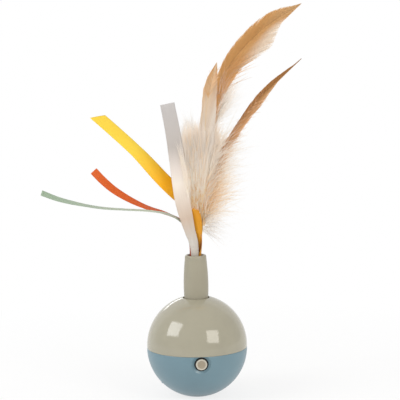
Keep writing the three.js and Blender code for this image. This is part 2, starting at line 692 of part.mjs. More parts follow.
// The shaft with a three-pole core
function motorArmature() {
  const endcapTop = MOTOR_BOTTOM + ENDCAP_HEIGHT;
  const shaft = rod(SHAFT_RADIUS, endcapTop - ENDCAP_HEIGHT / 2, LARGE_TOP);
  const coreRadius = MOTOR_WIDTH / 2 - MOTOR_WALL - RUN_GAP;
  const bottom = endcapTop + ENDCAP_HEIGHT / 2 + RUN_GAP;
  const top = CHASSIS_BOTTOM - MOTOR_TOP_WALL - RUN_GAP;
  const core = rod(coreRadius, bottom, top, undefined, MIDDLE_STEPS);
  const slots = [0, 1, 2].map((pole) => rod(
    coreRadius / 3, bottom - 1, top + 1, polar(0, 0, coreRadius, 2 * Math.PI * pole / 3)));
  return join(cut(core, ...slots), shaft).translate(motorAt.x, motorAt.y, 0);
}

// Push button, switch and board

function powerButton() {
  const face = Math.sqrt(BALL_RADIUS ** 2 - BUTTON_DROP ** 2) - BUTTON_SINK;
  const height = face + buttonBackY;
  const rim = BUTTON_RADIUS - BUTTON_HOLLOW;
  const cap = revolve([
    [0, 0],
    [BUTTON_FLANGE, 0],
    [BUTTON_FLANGE, BUTTON_FLANGE_HEIGHT],
    [BUTTON_RADIUS, BUTTON_FLANGE_HEIGHT],
    [BUTTON_RADIUS, height - BUTTON_HOLLOW],
    [rim, height],
    [rim - BUTTON_HOLLOW, height],
    [rim - 2 * BUTTON_HOLLOW, height - BUTTON_HOLLOW],
    [0, height - 1.4 * BUTTON_HOLLOW],
  ], MIDDLE_STEPS);
  return cap.rotateX(Math.PI / 2).translate(0, buttonBackY, BUTTON_Z);
}

function switchBody() {
  const half = SWITCH_SIZE / 2;
  const body = block([-half, half], [switchY, boardY], [BUTTON_Z - half, BUTTON_Z + half]);
  const depth = PLUNGER_ENTRY + BUTTON_TRAVEL + FIT_GAP;
  const well = rodAlongY(PLUNGER_RADIUS + FIT_GAP, switchY - 1, switchY + depth, 0, BUTTON_Z, SMALL_STEPS);
  return cut(body, well);
}

function switchPlunger() {
  return rodAlongY(PLUNGER_RADIUS, buttonBackY, switchY + PLUNGER_ENTRY, 0, BUTTON_Z, SMALL_STEPS);
}

function circuitBoard() {
  const half = BOARD_WIDTH / 2;
  return block([-half, half], [boardY, boardBackY], [BOARD_TOP - BOARD_HEIGHT, BOARD_TOP]);
}

function controllerChip() {
  const top = BOARD_TOP - BOARD_HEIGHT / 4;
  const half = CHIP_SIZE / 2;
  return block([-half, half], [boardBackY, boardBackY + CHIP_HEIGHT], [top - CHIP_SIZE, top]);
}

// Batteries, contacts and hatch

function batteryCell(place) {
  const start = cellsStartY + place * CELL_HEIGHT;
  const bevel = CELL_RADIUS - CONTACT_THICKNESS;
  const cell = revolve([
    [0, 0],
    [bevel, 0],
    [CELL_RADIUS, CONTACT_THICKNESS],
    [CELL_RADIUS, CELL_HEIGHT],
    [0, CELL_HEIGHT],
  ], MIDDLE_STEPS);
  return cell.rotateX(-Math.PI / 2).translate(0, start, BATTERY_Z);
}

// One unbroken wire that narrows from the cup's floor to the first cell
function batterySpring() {
  const points = [];
  const steps = SPRING_TURNS * 8;
  const rise = SPRING_HEIGHT - SPRING_WIRE;
  for (let i = 0; i <= steps; i += 1) {
    const along = i / steps;
    const angle = 2 * Math.PI * SPRING_TURNS * along;
    const radius = SPRING_RADIUS * (1 - along / 2);
    const height = springY + SPRING_WIRE / 2 + rise * along;
    points.push(new THREE.Vector3(radius * Math.cos(angle), height, BATTERY_Z + radius * Math.sin(angle)));
  }
  return tube(SPRING_WIRE / 2, new THREE.CatmullRomCurve3(points), steps);
}

function sideContact() {
  const half = SIDE_CONTACT_WIDTH / 2;
  return block([-half, half], [boreY + FIT_GAP, doorY], [sideContactZ, sideContactZ + CONTACT_THICKNESS]);
}

function batteryDoor() {
  const ball = sphere(BALL_RADIUS, 0);
  const blank = common(hatchBlank(0, doorY, BALL_RADIUS + 1), ball);
  const hollow = common(
    rodAlongY(DOOR_RADIUS - DOOR_SKIN, doorY - 1, BALL_RADIUS, 0, BATTERY_Z),
    sphere(INNER_RADIUS, 0));
  const post = common(
    rodAlongY(DOOR_RADIUS / 3, doorY + CONTACT_THICKNESS, BALL_RADIUS, 0, BATTERY_Z, SMALL_STEPS), ball);
  const seat = doorScrewSeat();
  const headHole = rodAlongY(
    DOOR_SCREW.head + FIT_GAP, seat, BALL_RADIUS + 1, EAR_REACH, BATTERY_Z, SMALL_STEPS);
  const shankHole = rodAlongY(
    DOOR_SCREW.shank + FIT_GAP, doorY - 1, BALL_RADIUS, EAR_REACH, BATTERY_Z, SMALL_STEPS);
  return cut(join(cut(blank, hollow), post), headHole, shankHole);
}

function doorContact() {
  const radius = DOOR_RADIUS - DOOR_SKIN - FIT_GAP;
  return rodAlongY(radius, doorY, doorY + CONTACT_THICKNESS, 0, BATTERY_Z, MIDDLE_STEPS);
}

function doorScrew() {
  const geometry = screw(DOOR_SCREW, 0).rotateX(Math.PI / 2);
  return geometry.translate(EAR_REACH, doorScrewSeat(), BATTERY_Z);
}

// Thin leads between the board, the motor and the battery contacts
function wire(points) {
  const curve = new THREE.CatmullRomCurve3(points.map((p) => new THREE.Vector3(...p)));
  return tube(WIRE_RADIUS, curve, WIRE_STEPS);
}

// Leads are soldered to the board's lower edge, each clear of the one before
function leadEnd(side, place) {
  const x = side * (CHIP_SIZE / 2 + 3 * WIRE_RADIUS * place);
  return { x, y: (boardY + boardBackY) / 2, z: BOARD_TOP - BOARD_HEIGHT - FIT_GAP };
}

function motorWire(side) {
  const end = leadEnd(side, 1);
  const startX = motorAt.x + side * MOTOR_WIDTH / 4;
  const below = MOTOR_BOTTOM - FIT_GAP;
  return wire([
    [startX, motorAt.y, below],
    [startX, motorAt.y, below - 2 * WIRE_RADIUS],
    [(startX + end.x) / 2, (motorAt.y + end.y) / 2, below - 2 * WIRE_RADIUS],
    [end.x, end.y, end.z - 4 * WIRE_RADIUS],
    [end.x, end.y, end.z],
  ]);
}

// The height at which a battery lead passes the motor is given, beside it or under it
function batteryWire(side, startZ, passZ) {
  const end = leadEnd(side, 2);
  const below = end.z - 2 * WIRE_RADIUS;
  return wire([
    [0, boreY - FIT_GAP, startZ],
    [0, tubeY - 2 * WIRE_RADIUS, startZ],
    [end.x, motorAt.y + MOTOR_DEPTH / 2, passZ],
    [end.x, boardBackY + 4 * WIRE_RADIUS, Math.min(passZ, below)],
    [end.x, end.y, below],
    [end.x, end.y, end.z],
  ]);
}

// Neck and what it holds

function neckProfile() {
  const spline = new THREE.SplineCurve([
    new THREE.Vector2(NECK_BASE_RADIUS, HOLE_Z),
    new THREE.Vector2(NECK_BASE_RADIUS + NECK_SWELL, HOLE_Z + NECK_RISE * 0.25),
    new THREE.Vector2(NECK_BASE_RADIUS, HOLE_Z + NECK_RISE * 0.55),
    new THREE.Vector2(NECK_TOP_RADIUS, NECK_TOP - NECK_MOUTH_WALL / 2),
  ]);
  return spline.getPoints(NECK_STEPS).map((point) => [point.x, point.y]);
}

function neck() {
  const lip = NECK_MOUTH_WALL / 2;
  const body = revolve([
    [0, NECK_BOTTOM],
    [FLANGE_RADIUS, NECK_BOTTOM],
    [FLANGE_RADIUS, FLANGE_TOP],
    [NECK_BASE_RADIUS, FLANGE_TOP],
    ...neckProfile(),
    ...arc(lip, NECK_TOP - lip, 0, Math.PI, LIP_STEPS, NECK_TOP_RADIUS - lip).slice(1),
    [NECK_BORE, FLOOR_Z],
    [0, FLOOR_Z],
  ]);
  const hexRadius = (HEX_ACROSS_FLATS + 2 * FIT_GAP) / Math.sqrt(3);
  const socket = rod(hexRadius, NECK_BOTTOM - 1, NECK_BOTTOM + HEX_HEIGHT + FIT_GAP, undefined, 6);
  return cut(body, socket, rod(NECK_SCREW.shank + FIT_GAP, NECK_BOTTOM, FLOOR_Z + 1));
}

// Each feather: its place in the mouth, the line of its shaft above the mouth,
// and rows of share of length, left width and right width of its vane
const FEATHERS = {
  feather_long: {
    colour: COLOURS.tan,
    place: [2.6, 0.9],
    line: [
      [5.8, 0.8, 18.6], [9.9, 0.6, 51.4], [14.1, 1.6, 86.8],
      [23.9, 3.2, 111], [45, 5.2, 132.8], [69.4, 6.2, 147.6],
    ],
    vane: [
      [0.34, 0.6, 0.6], [0.46, 2.4, 2.6], [0.586, 3.2, 3.8],
      [0.68, 4, 5.9], [0.77, 5.8, 9.7], [0.83, 5.3, 11.6],
      [0.872, 4.5, 8.7], [0.915, 3.9, 3.8], [0.945, 3, 2.4],
      [0.975, 1.1, 0.9], [1, 0.3, 0.3],
    ],
  },
  feather_short: {
    colour: COLOURS.tan,
    place: [0.4, 0.9],
    line: [
      [2.5, 0.6, 18], [4.6, 0, 36], [6.9, -2.6, 56],
      [8.4, -4.4, 75.6], [10.6, -6, 93], [16.4, -8, 115],
    ],
    vane: [
      [0.36, 0.8, 0.8], [0.5, 4.4, 4], [0.64, 4.6, 4],
      [0.73, 3, 4], [0.83, 3.3, 3.8], [0.88, 3.8, 3.2],
      [0.93, 3.2, 2.4], [0.985, 0.7, 0.7], [1, 0.3, 0.3],
    ],
  },
  feather_brown: {
    colour: COLOURS.brown,
    place: [1.4, 2.8],
    line: [
      [6.5, 3.2, 22.5], [13.8, 3.8, 50], [25.4, 5.2, 71.3],
      [41.1, 6.6, 91], [68.8, 7.2, 115.2],
    ],
    vane: [
      [0.42, 0.6, 0.6], [0.6, 1, 1.3], [0.66, 1.1, 3.1],
      [0.71, 1.7, 3.8], [0.76, 2.3, 4], [0.83, 2.3, 2.1],
      [0.87, 2.2, 0.9], [0.93, 1.3, 0.6], [1, 0.3, 0.3],
    ],
  },
  down_plume: {
    colour: COLOURS.cream,
    place: [-1, 2.6],
    line: [[0.5, 4.6, 22], [4, 7.5, 45], [9, 9.5, 65], [13, 10.5, 84]],
    vane: [
      [0.25, 0.6, 0.6], [0.4, 5, 6], [0.6, 9, 12],
      [0.8, 10, 12], [0.93, 6, 7], [1, 0.5, 0.5],
    ],
  },
};

// Each ribbon: its place in the mouth, its line above the mouth, rows of share of length and width,
// and rows of share and the way its flat side faces
const RIBBONS = {
  ribbon_white: {
    colour: COLOURS.white,
    place: [-0.8, -2.4],
    line: [
      [-1.3, -2.5, 9.2], [-2.6, -2.7, 15.2], [-4.3, -3.1, 24.3],
      [-6.1, -3.8, 34.6], [-7.3, -4.6, 45.5], [-8.6, -5.3, 58.6],
      [-10.7, -6.2, 76.4], [-13.3, -7, 92],
    ],
    width: [
      [0, 3.2], [0.14, 3.4], [0.225, 4.7], [0.28, 5.5], [0.365, 8],
      [0.46, 9], [0.56, 9.4], [0.7, 9.2], [1, 8.4],
    ],
    faces: [[0, 0, -1, 0], [1, 0, -1, 0]],
  },
  ribbon_yellow: {
    colour: COLOURS.yellow,
    place: [2.2, -0.6],
    line: [
      [3.4, -1, 9.6], [3, -1.2, 17.8], [1.6, -1, 25],
      [-2.6, -0.4, 31.7], [-8.3, 0.8, 37.5], [-17.3, 3.5, 47.1],
      [-30.7, 7.5, 62.5], [-44.3, 11.5, 75.9], [-53.7, 14, 84.7],
    ],
    width: [
      [0, 2.2], [0.2, 2.2], [0.24, 3.4], [0.28, 5.2], [0.33, 5.8],
      [0.4, 7.2], [0.46, 8.2], [0.57, 8.8], [0.74, 9.3], [1, 9],
    ],
    faces: [[0, 0, -1, 0], [0.45, 0, -1, 0], [0.75, 0.45, -0.77, 0.45], [1, 0.45, -0.77, 0.45]],
  },
  ribbon_orange: {
    colour: COLOURS.orange,
    place: [-2.9, 0.9],
    line: [
      [-2.6, 1.2, 8], [-3.4, 1.5, 14.5], [-5.2, 1.8, 20.7],
      [-9.8, 2.6, 24.7], [-16.1, 4, 27.6], [-24.9, 6.5, 29.3],
      [-35.3, 10, 33.8], [-45.7, 14, 40.3], [-52.5, 17, 46.4], [-57.3, 19.5, 51.7],
    ],
    width: [[0, 2], [0.3, 2], [0.42, 4], [0.55, 4.8], [1, 4.8]],
    faces: [
      [0, 0, -1, 0], [0.12, 0, -1, 0], [0.3, 0.5, -0.8, 0.1], [0.4, 0.5, -0.62, 0.6],
      [0.52, 0.25, -0.42, 0.85], [0.62, 0.2, -0.42, 0.87], [0.85, 0.1, -0.85, 0.5], [1, 0, -1, 0.1],
    ],
  },
  ribbon_green: {
    colour: COLOURS.green,
    place: [-1.6, -0.9],
    line: [
      [-2.2, -0.7, 8], [-3.4, -0.5, 14.5], [-5.4, -0.4, 20.1],
      [-10, -0.6, 23.9], [-15.9, -0.9, 26.6], [-25.4, -1.6, 28.7],
      [-39.6, -2.8, 30.3], [-53.7, -3.8, 32], [-67.6, -4.8, 35.1],
      [-79.2, -5.6, 38.6], [-88.6, -6.3, 42.7],
    ],
    width: [[0, 1.8], [0.2, 1.8], [0.3, 3], [0.4, 3.6], [1, 3.6]],
    faces: [
      [0, 0, -1, 0], [0.1, 0, -1, 0], [0.24, 0.5, -0.8, 0], [0.32, 0.6, -0.7, 0.35], [0.42, 0.3, -0.5, 0.8],
      [0.6, 0.05, -0.36, 0.93], [0.78, 0.05, -0.36, 0.93], [1, 0.2, -0.8, 0.56],
    ],
  },
};

function valueAt(rows, share, column) {
  const next = rows.findIndex((row) => row[0] >= share);
  if (next <= 0) return rows[next === 0 ? 0 : rows.length - 1][column];
  const [before, after] = [rows[next - 1], rows[next]];
  const along = (share - before[0]) / (after[0] - before[0]);
  return THREE.MathUtils.lerp(before[column], after[column], along);
}

// The line of a feather or ribbon, from its glued root straight up through the mouth
function headLine({ place, line }) {
  const [x, y] = place;
  const root = PLUG_TOP - ROOT_DEPTH;
  const points = [
    new THREE.Vector3(x, y, root),
    new THREE.Vector3(x, y, (root + NECK_TOP) / 2),
    new THREE.Vector3(x, y, NECK_TOP),
    ...line.map(([px, py, height]) => new THREE.Vector3(px, py, NECK_TOP + height)),
  ];
  return new THREE.CatmullRomCurve3(points, false, 'centripetal');
}

// Sections along a line; each gets a middle, a side direction and a face direction
function frames(curve, faces) {
  return Array.from({ length: LOFT_STEPS + 1 }, (_, i) => {
    const share = i / LOFT_STEPS;
    const tangent = curve.getTangentAt(share);
    const facing = new THREE.Vector3(...[1, 2, 3].map((column) => valueAt(faces, share, column)));
    const side = new THREE.Vector3().crossVectors(tangent, facing).normalize();
    const face = new THREE.Vector3().crossVectors(side, tangent).normalize();
    return { share, middle: curve.getPointAt(share), side, face };
  });
}

function offset(frame, across, out) {
  return frame.middle.clone().addScaledVector(frame.side, across).addScaledVector(frame.face, out);
}

function feather(spec) {
  const front = [[0, 0, -1, 0]];
  const sections = frames(headLine(spec), front).map((frame) => {
    const quill = QUILL_RADIUS * (1 - 0.75 * frame.share);
    const left = Math.max(quill, valueAt(spec.vane, frame.share, 1));
    const right = Math.max(quill, valueAt(spec.vane, frame.share, 2));
    const bare = frame.share < spec.vane[0][0];
    const out = bare ? quill * Math.sqrt(0.75) : Math.min(quill, VANE_THICKNESS / 2);
    const half = quill / 2;
    return [
      offset(frame, bare ? -quill : -left, 0),
      offset(frame, -half, out),
      offset(frame, half, out),
      offset(frame, bare ? quill : right, 0),
      offset(frame, half, -out),
      offset(frame, -half, -out),
    ];
  });
  return loft(sections);
}

function ribbon(spec) {
  const sections = frames(headLine(spec), spec.faces).map((frame) => {
    const half = valueAt(spec.width, frame.share, 1) / 2;
    const out = RIBBON_THICKNESS / 2;
    return [
      offset(frame, -half, out),
      offset(frame, half, out),
      offset(frame, half, -out),
      offset(frame, -half, -out),
    ];
  });
  return loft(sections);
}

// Set glue with a socket for each quill and ribbon
function gluePlug() {
  const plug = rod(NECK_BORE - FIT_GAP, PLUG_BOTTOM, PLUG_TOP, undefined, ROUND_STEPS);
  const bottom = PLUG_TOP - ROOT_DEPTH - FIT_GAP;
  const quills = Object.values(FEATHERS).map(({ place: [x, y] }) => (
    rod(QUILL_RADIUS + FIT_GAP, bottom, PLUG_TOP + 1, { x, y }, SMALL_STEPS)));
  const slots = Object.values(RIBBONS).map(({ place: [x, y], width }) => {
    const across = width[0][1] / 2 + FIT_GAP;
    const through = RIBBON_THICKNESS / 2 + FIT_GAP;
    return block([x - across, x + across], [y - through, y + through], [bottom, PLUG_TOP + 1]);
  });
  return cut(plug, ...quills, ...slots);
}

// Assembly: the fixed ball first, then the pieces that move

const toy = new THREE.Group();
toy.position.z = SEAM_Z;

toy.add(
  mesh('upper_shell', upperShell(), COLOURS.upper, 0.15),
  mesh('lower_shell', lowerShell(), COLOURS.lower, 0.45),
  mesh('ballast', ballast(), COLOURS.dark_steel, 0.5, 0.9),
  mesh('ballast_screw', screwFromAbove(BALLAST_SCREW, BALLAST_SEAT), COLOURS.steel, 0.35, 1),
  mesh('chassis', chassis(), COLOURS.white_plastic, 0.6),
  mesh('gear_cover', gearCover(), COLOURS.white_plastic, 0.6),
  mesh('lower_bush', bush(JOURNAL_RADIUS, CHASSIS_BOTTOM, 0), COLOURS.brass, 0.35, 1),
  mesh('upper_bush', bush(SPINDLE_RADIUS, COVER_Z, COVER_TOP), COLOURS.brass, 0.35, 1),
  mesh('idler_axle', rod(AXLE_RADIUS, CHASSIS_BOTTOM, COVER_TOP, idlerAt), COLOURS.steel, 0.25, 1),
  mesh('motor_can', motorCan(), COLOURS.steel, 0.3, 1),
  mesh('motor_endcap', motorEndcap(), COLOURS.black_plastic, 0.5),
  mesh('switch_body', switchBody(), COLOURS.black_plastic, 0.5),
  mesh('circuit_board', circuitBoard(), COLOURS.board_green, 0.4),
  mesh('controller_chip', controllerChip(), COLOURS.black_plastic, 0.4),
  mesh('battery_spring', batterySpring(), COLOURS.steel, 0.3, 1),
  mesh('side_contact', sideContact(), COLOURS.brass, 0.35, 1),
  mesh('motor_wire_red', motorWire(1), COLOURS.red, 0.5),
  mesh('motor_wire_black', motorWire(-1), COLOURS.black, 0.5),
  mesh('battery_wire_red', batteryWire(1, BATTERY_Z, BATTERY_Z), COLOURS.red, 0.5),
  mesh(
    'battery_wire_black', batteryWire(-1, sideContactZ + CONTACT_THICKNESS, underMotorZ),
    COLOURS.black, 0.5));

['left', 'right'].forEach((side, i) => {
  toy.add(mesh(`shell_screw_${side}`, screw(SHELL_SCREW, SCREW_SEAT, bossPlaces[i]), COLOURS.steel, 0.35, 1));
});
['right', 'back', 'left'].forEach((side, i) => {
  const geometry = screwFromAbove(COVER_SCREW, COVER_TOP, pillarPlaces[i]);
  toy.add(mesh(`cover_screw_${side}`, geometry, COLOURS.steel, 0.35, 1));
});
['front', 'back'].forEach((side, i) => {
  const geometry = screwFromAbove(MOTOR_SCREW, 0, motorScrewPlaces()[i]);
  toy.add(mesh(`motor_screw_${side}`, geometry, COLOURS.steel, 0.35, 1));
});
for (let place = 0; place < CELL_COUNT; place += 1) {
  toy.add(mesh(`battery_cell_${place + 1}`, batteryCell(place), COLOURS.steel, 0.3, 1));
}

// Turning with the motor
toy.add(
  mesh('motor_armature', motorArmature(), COLOURS.dark_steel, 0.4, 1),
  mesh('motor_pinion', motorPinion(), COLOURS.brass, 0.35, 1),
  mesh('idler_gear', idlerGear(), COLOURS.white_plastic, 0.5));

// Pressed by a finger
toy.add(
  mesh('power_button', powerButton(), COLOURS.button, 0.4),
  mesh('switch_plunger', switchPlunger(), COLOURS.white_plastic, 0.5));

// Taken off to change the cells
toy.add(
  mesh('battery_door', batteryDoor(), COLOURS.lower, 0.45),
  mesh('door_contact', doorContact(), COLOURS.brass, 0.35, 1),
  mesh('door_screw', doorScrew(), COLOURS.steel, 0.35, 1));

// Spinning head
toy.add(
  mesh('output_gear', outputGear(), COLOURS.white_plastic, 0.5),
  mesh('neck', neck(), COLOURS.neck, 0.35),
  mesh('neck_screw', screwFromAbove(NECK_SCREW, FLOOR_Z), COLOURS.steel, 0.35, 1),
  mesh('glue_plug', gluePlug(), COLOURS.glue, 0.5));
Object.entries(FEATHERS).forEach(([name, spec]) => toy.add(mesh(name, feather(spec), spec.colour, 0.8)));
Object.entries(RIBBONS).forEach(([name, spec]) => toy.add(mesh(name, ribbon(spec), spec.colour, 0.35)));

export default toy;
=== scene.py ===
import math
import random

import bmesh
import bpy
import numpy as np
from mathutils import Matrix, Vector


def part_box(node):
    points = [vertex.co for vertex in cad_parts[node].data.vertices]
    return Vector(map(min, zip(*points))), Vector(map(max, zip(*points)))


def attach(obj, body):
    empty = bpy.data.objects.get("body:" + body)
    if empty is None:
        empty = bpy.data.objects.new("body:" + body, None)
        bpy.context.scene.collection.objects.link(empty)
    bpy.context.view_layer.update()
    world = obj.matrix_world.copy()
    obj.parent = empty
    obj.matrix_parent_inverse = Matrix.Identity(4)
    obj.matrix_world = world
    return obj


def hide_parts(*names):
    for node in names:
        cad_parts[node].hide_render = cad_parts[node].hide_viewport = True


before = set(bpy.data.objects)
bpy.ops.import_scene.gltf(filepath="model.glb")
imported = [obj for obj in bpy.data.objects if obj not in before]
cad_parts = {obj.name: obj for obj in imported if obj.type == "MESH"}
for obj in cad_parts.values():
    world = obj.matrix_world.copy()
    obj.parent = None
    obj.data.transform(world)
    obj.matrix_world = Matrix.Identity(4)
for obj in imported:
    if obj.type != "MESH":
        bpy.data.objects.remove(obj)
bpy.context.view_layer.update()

# Camera: the photo's view, a little above the ball and from its left, with a long lens.
# The toy leans a shade to the left in the picture, so the camera is rolled to match.
azimuth = math.radians(-4.998)
elevation = math.radians(6.943)
roll = math.radians(0.95)
camera_distance = 0.9
aim_right = 0.003195
aim_height = 0.1179
back = Vector((
    math.sin(azimuth) * math.cos(elevation),
    -math.cos(azimuth) * math.cos(elevation),
    math.sin(elevation)))
level = Vector((math.cos(azimuth), math.sin(azimuth), 0))
upward = back.cross(level)
across = level * math.cos(roll) - upward * math.sin(roll)
upright = level * math.sin(roll) + upward * math.cos(roll)
target = level * aim_right + Vector((0, 0, aim_height))
camera = bpy.data.objects.new("camera", bpy.data.cameras.new("camera"))
camera.data.lens = 136.47
camera.data.sensor_width = 36
turn = Matrix((across, upright, back)).transposed().to_4x4()
camera.matrix_world = Matrix.Translation(target + back * camera_distance) @ turn
bpy.context.scene.collection.objects.link(camera)
bpy.context.scene.camera = camera
bpy.context.scene.view_settings.view_transform = "Standard"

# Narrow ribbons: an orange and a pale green tape of stiff satin, glued into the neck.
# Each rises through the mouth, bends over and lies out to the left with a cut end.
millimetre = 0.001
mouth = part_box("neck")[1].z
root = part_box("ribbon_white")[0].z


def steps_between(points):
    """The distance from each point to the next."""
    return np.linalg.norm(np.diff(points, axis=0), axis=1)


def blend(low, high, low_knot, high_knot, time):
    """The value between two ends, as time runs from one knot to the other."""
    return ((high_knot - time) * low + (time - low_knot) * high) / (high_knot - low_knot)


def smooth_line(points, count):
    """Evenly spaced points on a smooth line through the given points."""
    fine_steps = 60
    points = np.array(points, float)
    first = 2 * points[0] - points[1]
    last = 2 * points[-1] - points[-2]
    points = np.vstack([first, points, last])
    knots = np.concatenate([[0], np.cumsum(np.sqrt(steps_between(points)))])
    fine = []
    for i in range(1, len(points) - 2):
        time = np.linspace(knots[i], knots[i + 1], fine_steps, endpoint=False)[:, None]
        between = {}
        for k in (-1, 0, 1):
            between[k] = blend(points[i + k], points[i + k + 1], knots[i + k], knots[i + k + 1], time)
        early = blend(between[-1], between[0], knots[i - 1], knots[i + 1], time)
        late = blend(between[0], between[1], knots[i], knots[i + 2], time)
        fine.append(blend(early, late, knots[i], knots[i + 1], time))
    fine = np.vstack(fine + [points[-2:-1]])
    reach = np.concatenate([[0], np.cumsum(steps_between(fine))])
    even = np.linspace(0, reach[-1], count)
    return np.stack([np.interp(even, reach, fine[:, k]) for k in range(3)], 1)


def leaning(path):
    """A path of the plume, which leans a degree further to the left than the neck that holds it.
    The lean sets in just above the mouth."""
    full_lean = 0.0163
    sets_in = 15 * millimetre
    pivot = 30 * millimetre
    share = np.clip((path[:, 2] - mouth) / sets_in, 0, 1)
    lean = full_lean * share ** 2 * (3 - 2 * share)
    moved = path.copy()
    moved[:, 0] -= lean * (path[:, 2] - pivot)
    moved[:, 2] += lean * path[:, 0]
    return moved


def head_line(place, line, count):
    """The line of a piece of the plume: up from the glue, through the mouth, then as it hangs."""
    x, y = place
    points = [(x, y, root), (x, y, (root + mouth) / 2), (x, y, mouth)]
    points = [(px * millimetre, py * millimetre, pz) for px, py, pz in points]
    points += [(px * millimetre, py * millimetre, mouth + height * millimetre) for px, py, height in line]
    return leaning(smooth_line(points, count))


def unit(vectors):
    """The same directions, each of length one."""
    return vectors / np.linalg.norm(vectors, axis=-1, keepdims=True)


def add_mesh(name, points, faces, material):
    """A smooth mesh object in the scene, from points in metres."""
    mesh = bpy.data.meshes.new(name)
    mesh.from_pydata([tuple(p) for p in points], [], [tuple(f) for f in faces])
    mesh.validate()
    mesh.shade_smooth()
    mesh.materials.append(material)
    piece = bpy.data.objects.new(name, mesh)
    bpy.context.scene.collection.objects.link(piece)
    return piece


def screen(red, green, blue):
    """A screen colour, 0 to 255, as the linear values that shaders take."""
    values = [v / 255 for v in (red, green, blue)]
    return [v / 12.92 if v <= 0.04045 else ((v + 0.055) / 1.055) ** 2.4 for v in values] + [1]


def new_material(name, roughness):
    """A material with its nodes, links and main shader at hand."""
    material = bpy.data.materials.new(name)
    material.use_nodes = True
    tree = material.node_tree
    shader = tree.nodes["Principled BSDF"]
    shader.inputs["Roughness"].default_value = roughness
    return material, tree.nodes, tree.links, shader


def ramp(nodes, stops):
    """A colour ramp from (place, colour) stops."""
    node = nodes.new("ShaderNodeValToRGB")
    points = node.color_ramp.elements
    while len(points) < len(stops):
        points.new(0.5)
    for point, (place, colour) in zip(points, stops):
        point.position = place
        point.color = colour
    return node


def add_node(nodes, kind, values=None, **settings):
    """A shader node with its settings and the values of its inputs."""
    node = nodes.new(kind)
    for name, setting in settings.items():
        setattr(node, name, setting)
    for name, value in (values or {}).items():
        node.inputs[name].default_value = value
    return node


def let_light_through(nodes, links, shader, colour, clear):
    """Mixes the main shader of something thin with light that comes through it from behind."""
    through = nodes.new("ShaderNodeBsdfTranslucent")
    links.new(colour, through.inputs["Color"])
    mixed = add_node(nodes, "ShaderNodeMixShader", {"Fac": clear})
    links.new(shader.outputs["BSDF"], mixed.inputs[1])
    links.new(through.outputs["BSDF"], mixed.inputs[2])
    links.new(mixed.outputs["Shader"], nodes["Material Output"].inputs["Surface"])


def satin(name, rows, clear=0.12):
    """Woven satin: its colour runs along the ribbon, with fine warp threads and some light through it.
    The rows have a share of the length and the screen colour there, which holds the ribbon's dye together
    with painted shade and painted sheen."""
    material, nodes, links, shader = new_material(name, 0.42)
    place = add_node(nodes, "ShaderNodeUVMap", uv_map="cloth")
    split = nodes.new("ShaderNodeSeparateXYZ")
    links.new(place.outputs["UV"], split.inputs["Vector"])
    # The ramp along the length paints shade and sheen onto the dye colour.
    colour = ramp(nodes, [(share, screen(*tone)) for share, *tone in rows])
    links.new(split.outputs["Y"], colour.inputs["Fac"])
    weave = {"Scale": 9, "Distortion": 1.2, "Detail": 2}
    threads = add_node(nodes, "ShaderNodeTexWave", weave, bands_direction="X")
    links.new(place.outputs["UV"], threads.inputs["Vector"])
    stretch = add_node(nodes, "ShaderNodeMapping", {"Scale": (26, 3, 1)})
    links.new(place.outputs["UV"], stretch.inputs["Vector"])
    streaks = add_node(nodes, "ShaderNodeTexNoise", {"Scale": 3})
    links.new(stretch.outputs["Vector"], streaks.inputs["Vector"])
    shade = add_node(nodes, "ShaderNodeMapRange", {"To Min": 0.9, "To Max": 1.1})
    links.new(streaks.outputs["Fac"], shade.inputs["Value"])
    tint = add_node(nodes, "ShaderNodeMix", {"Factor": 1}, data_type="RGBA", blend_type="MULTIPLY")
    links.new(colour.outputs["Color"], tint.inputs["A"])
    links.new(shade.outputs["Result"], tint.inputs["B"])
    bump = add_node(nodes, "ShaderNodeBump", {"Strength": 0.35, "Distance": 0.00006})
    links.new(threads.outputs["Fac"], bump.inputs["Height"])
    links.new(bump.outputs["Normal"], shader.inputs["Normal"])
    links.new(tint.outputs["Result"], shader.inputs["Base Color"])
    shader.inputs["Specular IOR Level"].default_value = 0.3
    let_light_through(nodes, links, shader, tint.outputs["Result"], clear)
    return material


def from_rows(rows, share):
    """A width, direction or colour from rows of share and value."""
    places = [row[0] for row in rows]
    values = np.array([row[1] for row in rows], float)
    if values.ndim == 1:
        return np.interp(share, places, values)
    return np.stack([np.interp(share, places, values[:, k]) for k in range(values.shape[1])], -1)


def blurred(values, span):
    """The values, each replaced by the mean of an odd span of them round it."""
    return np.convolve(np.pad(values, span // 2, mode="edge"), np.ones(span) / span, mode="valid")


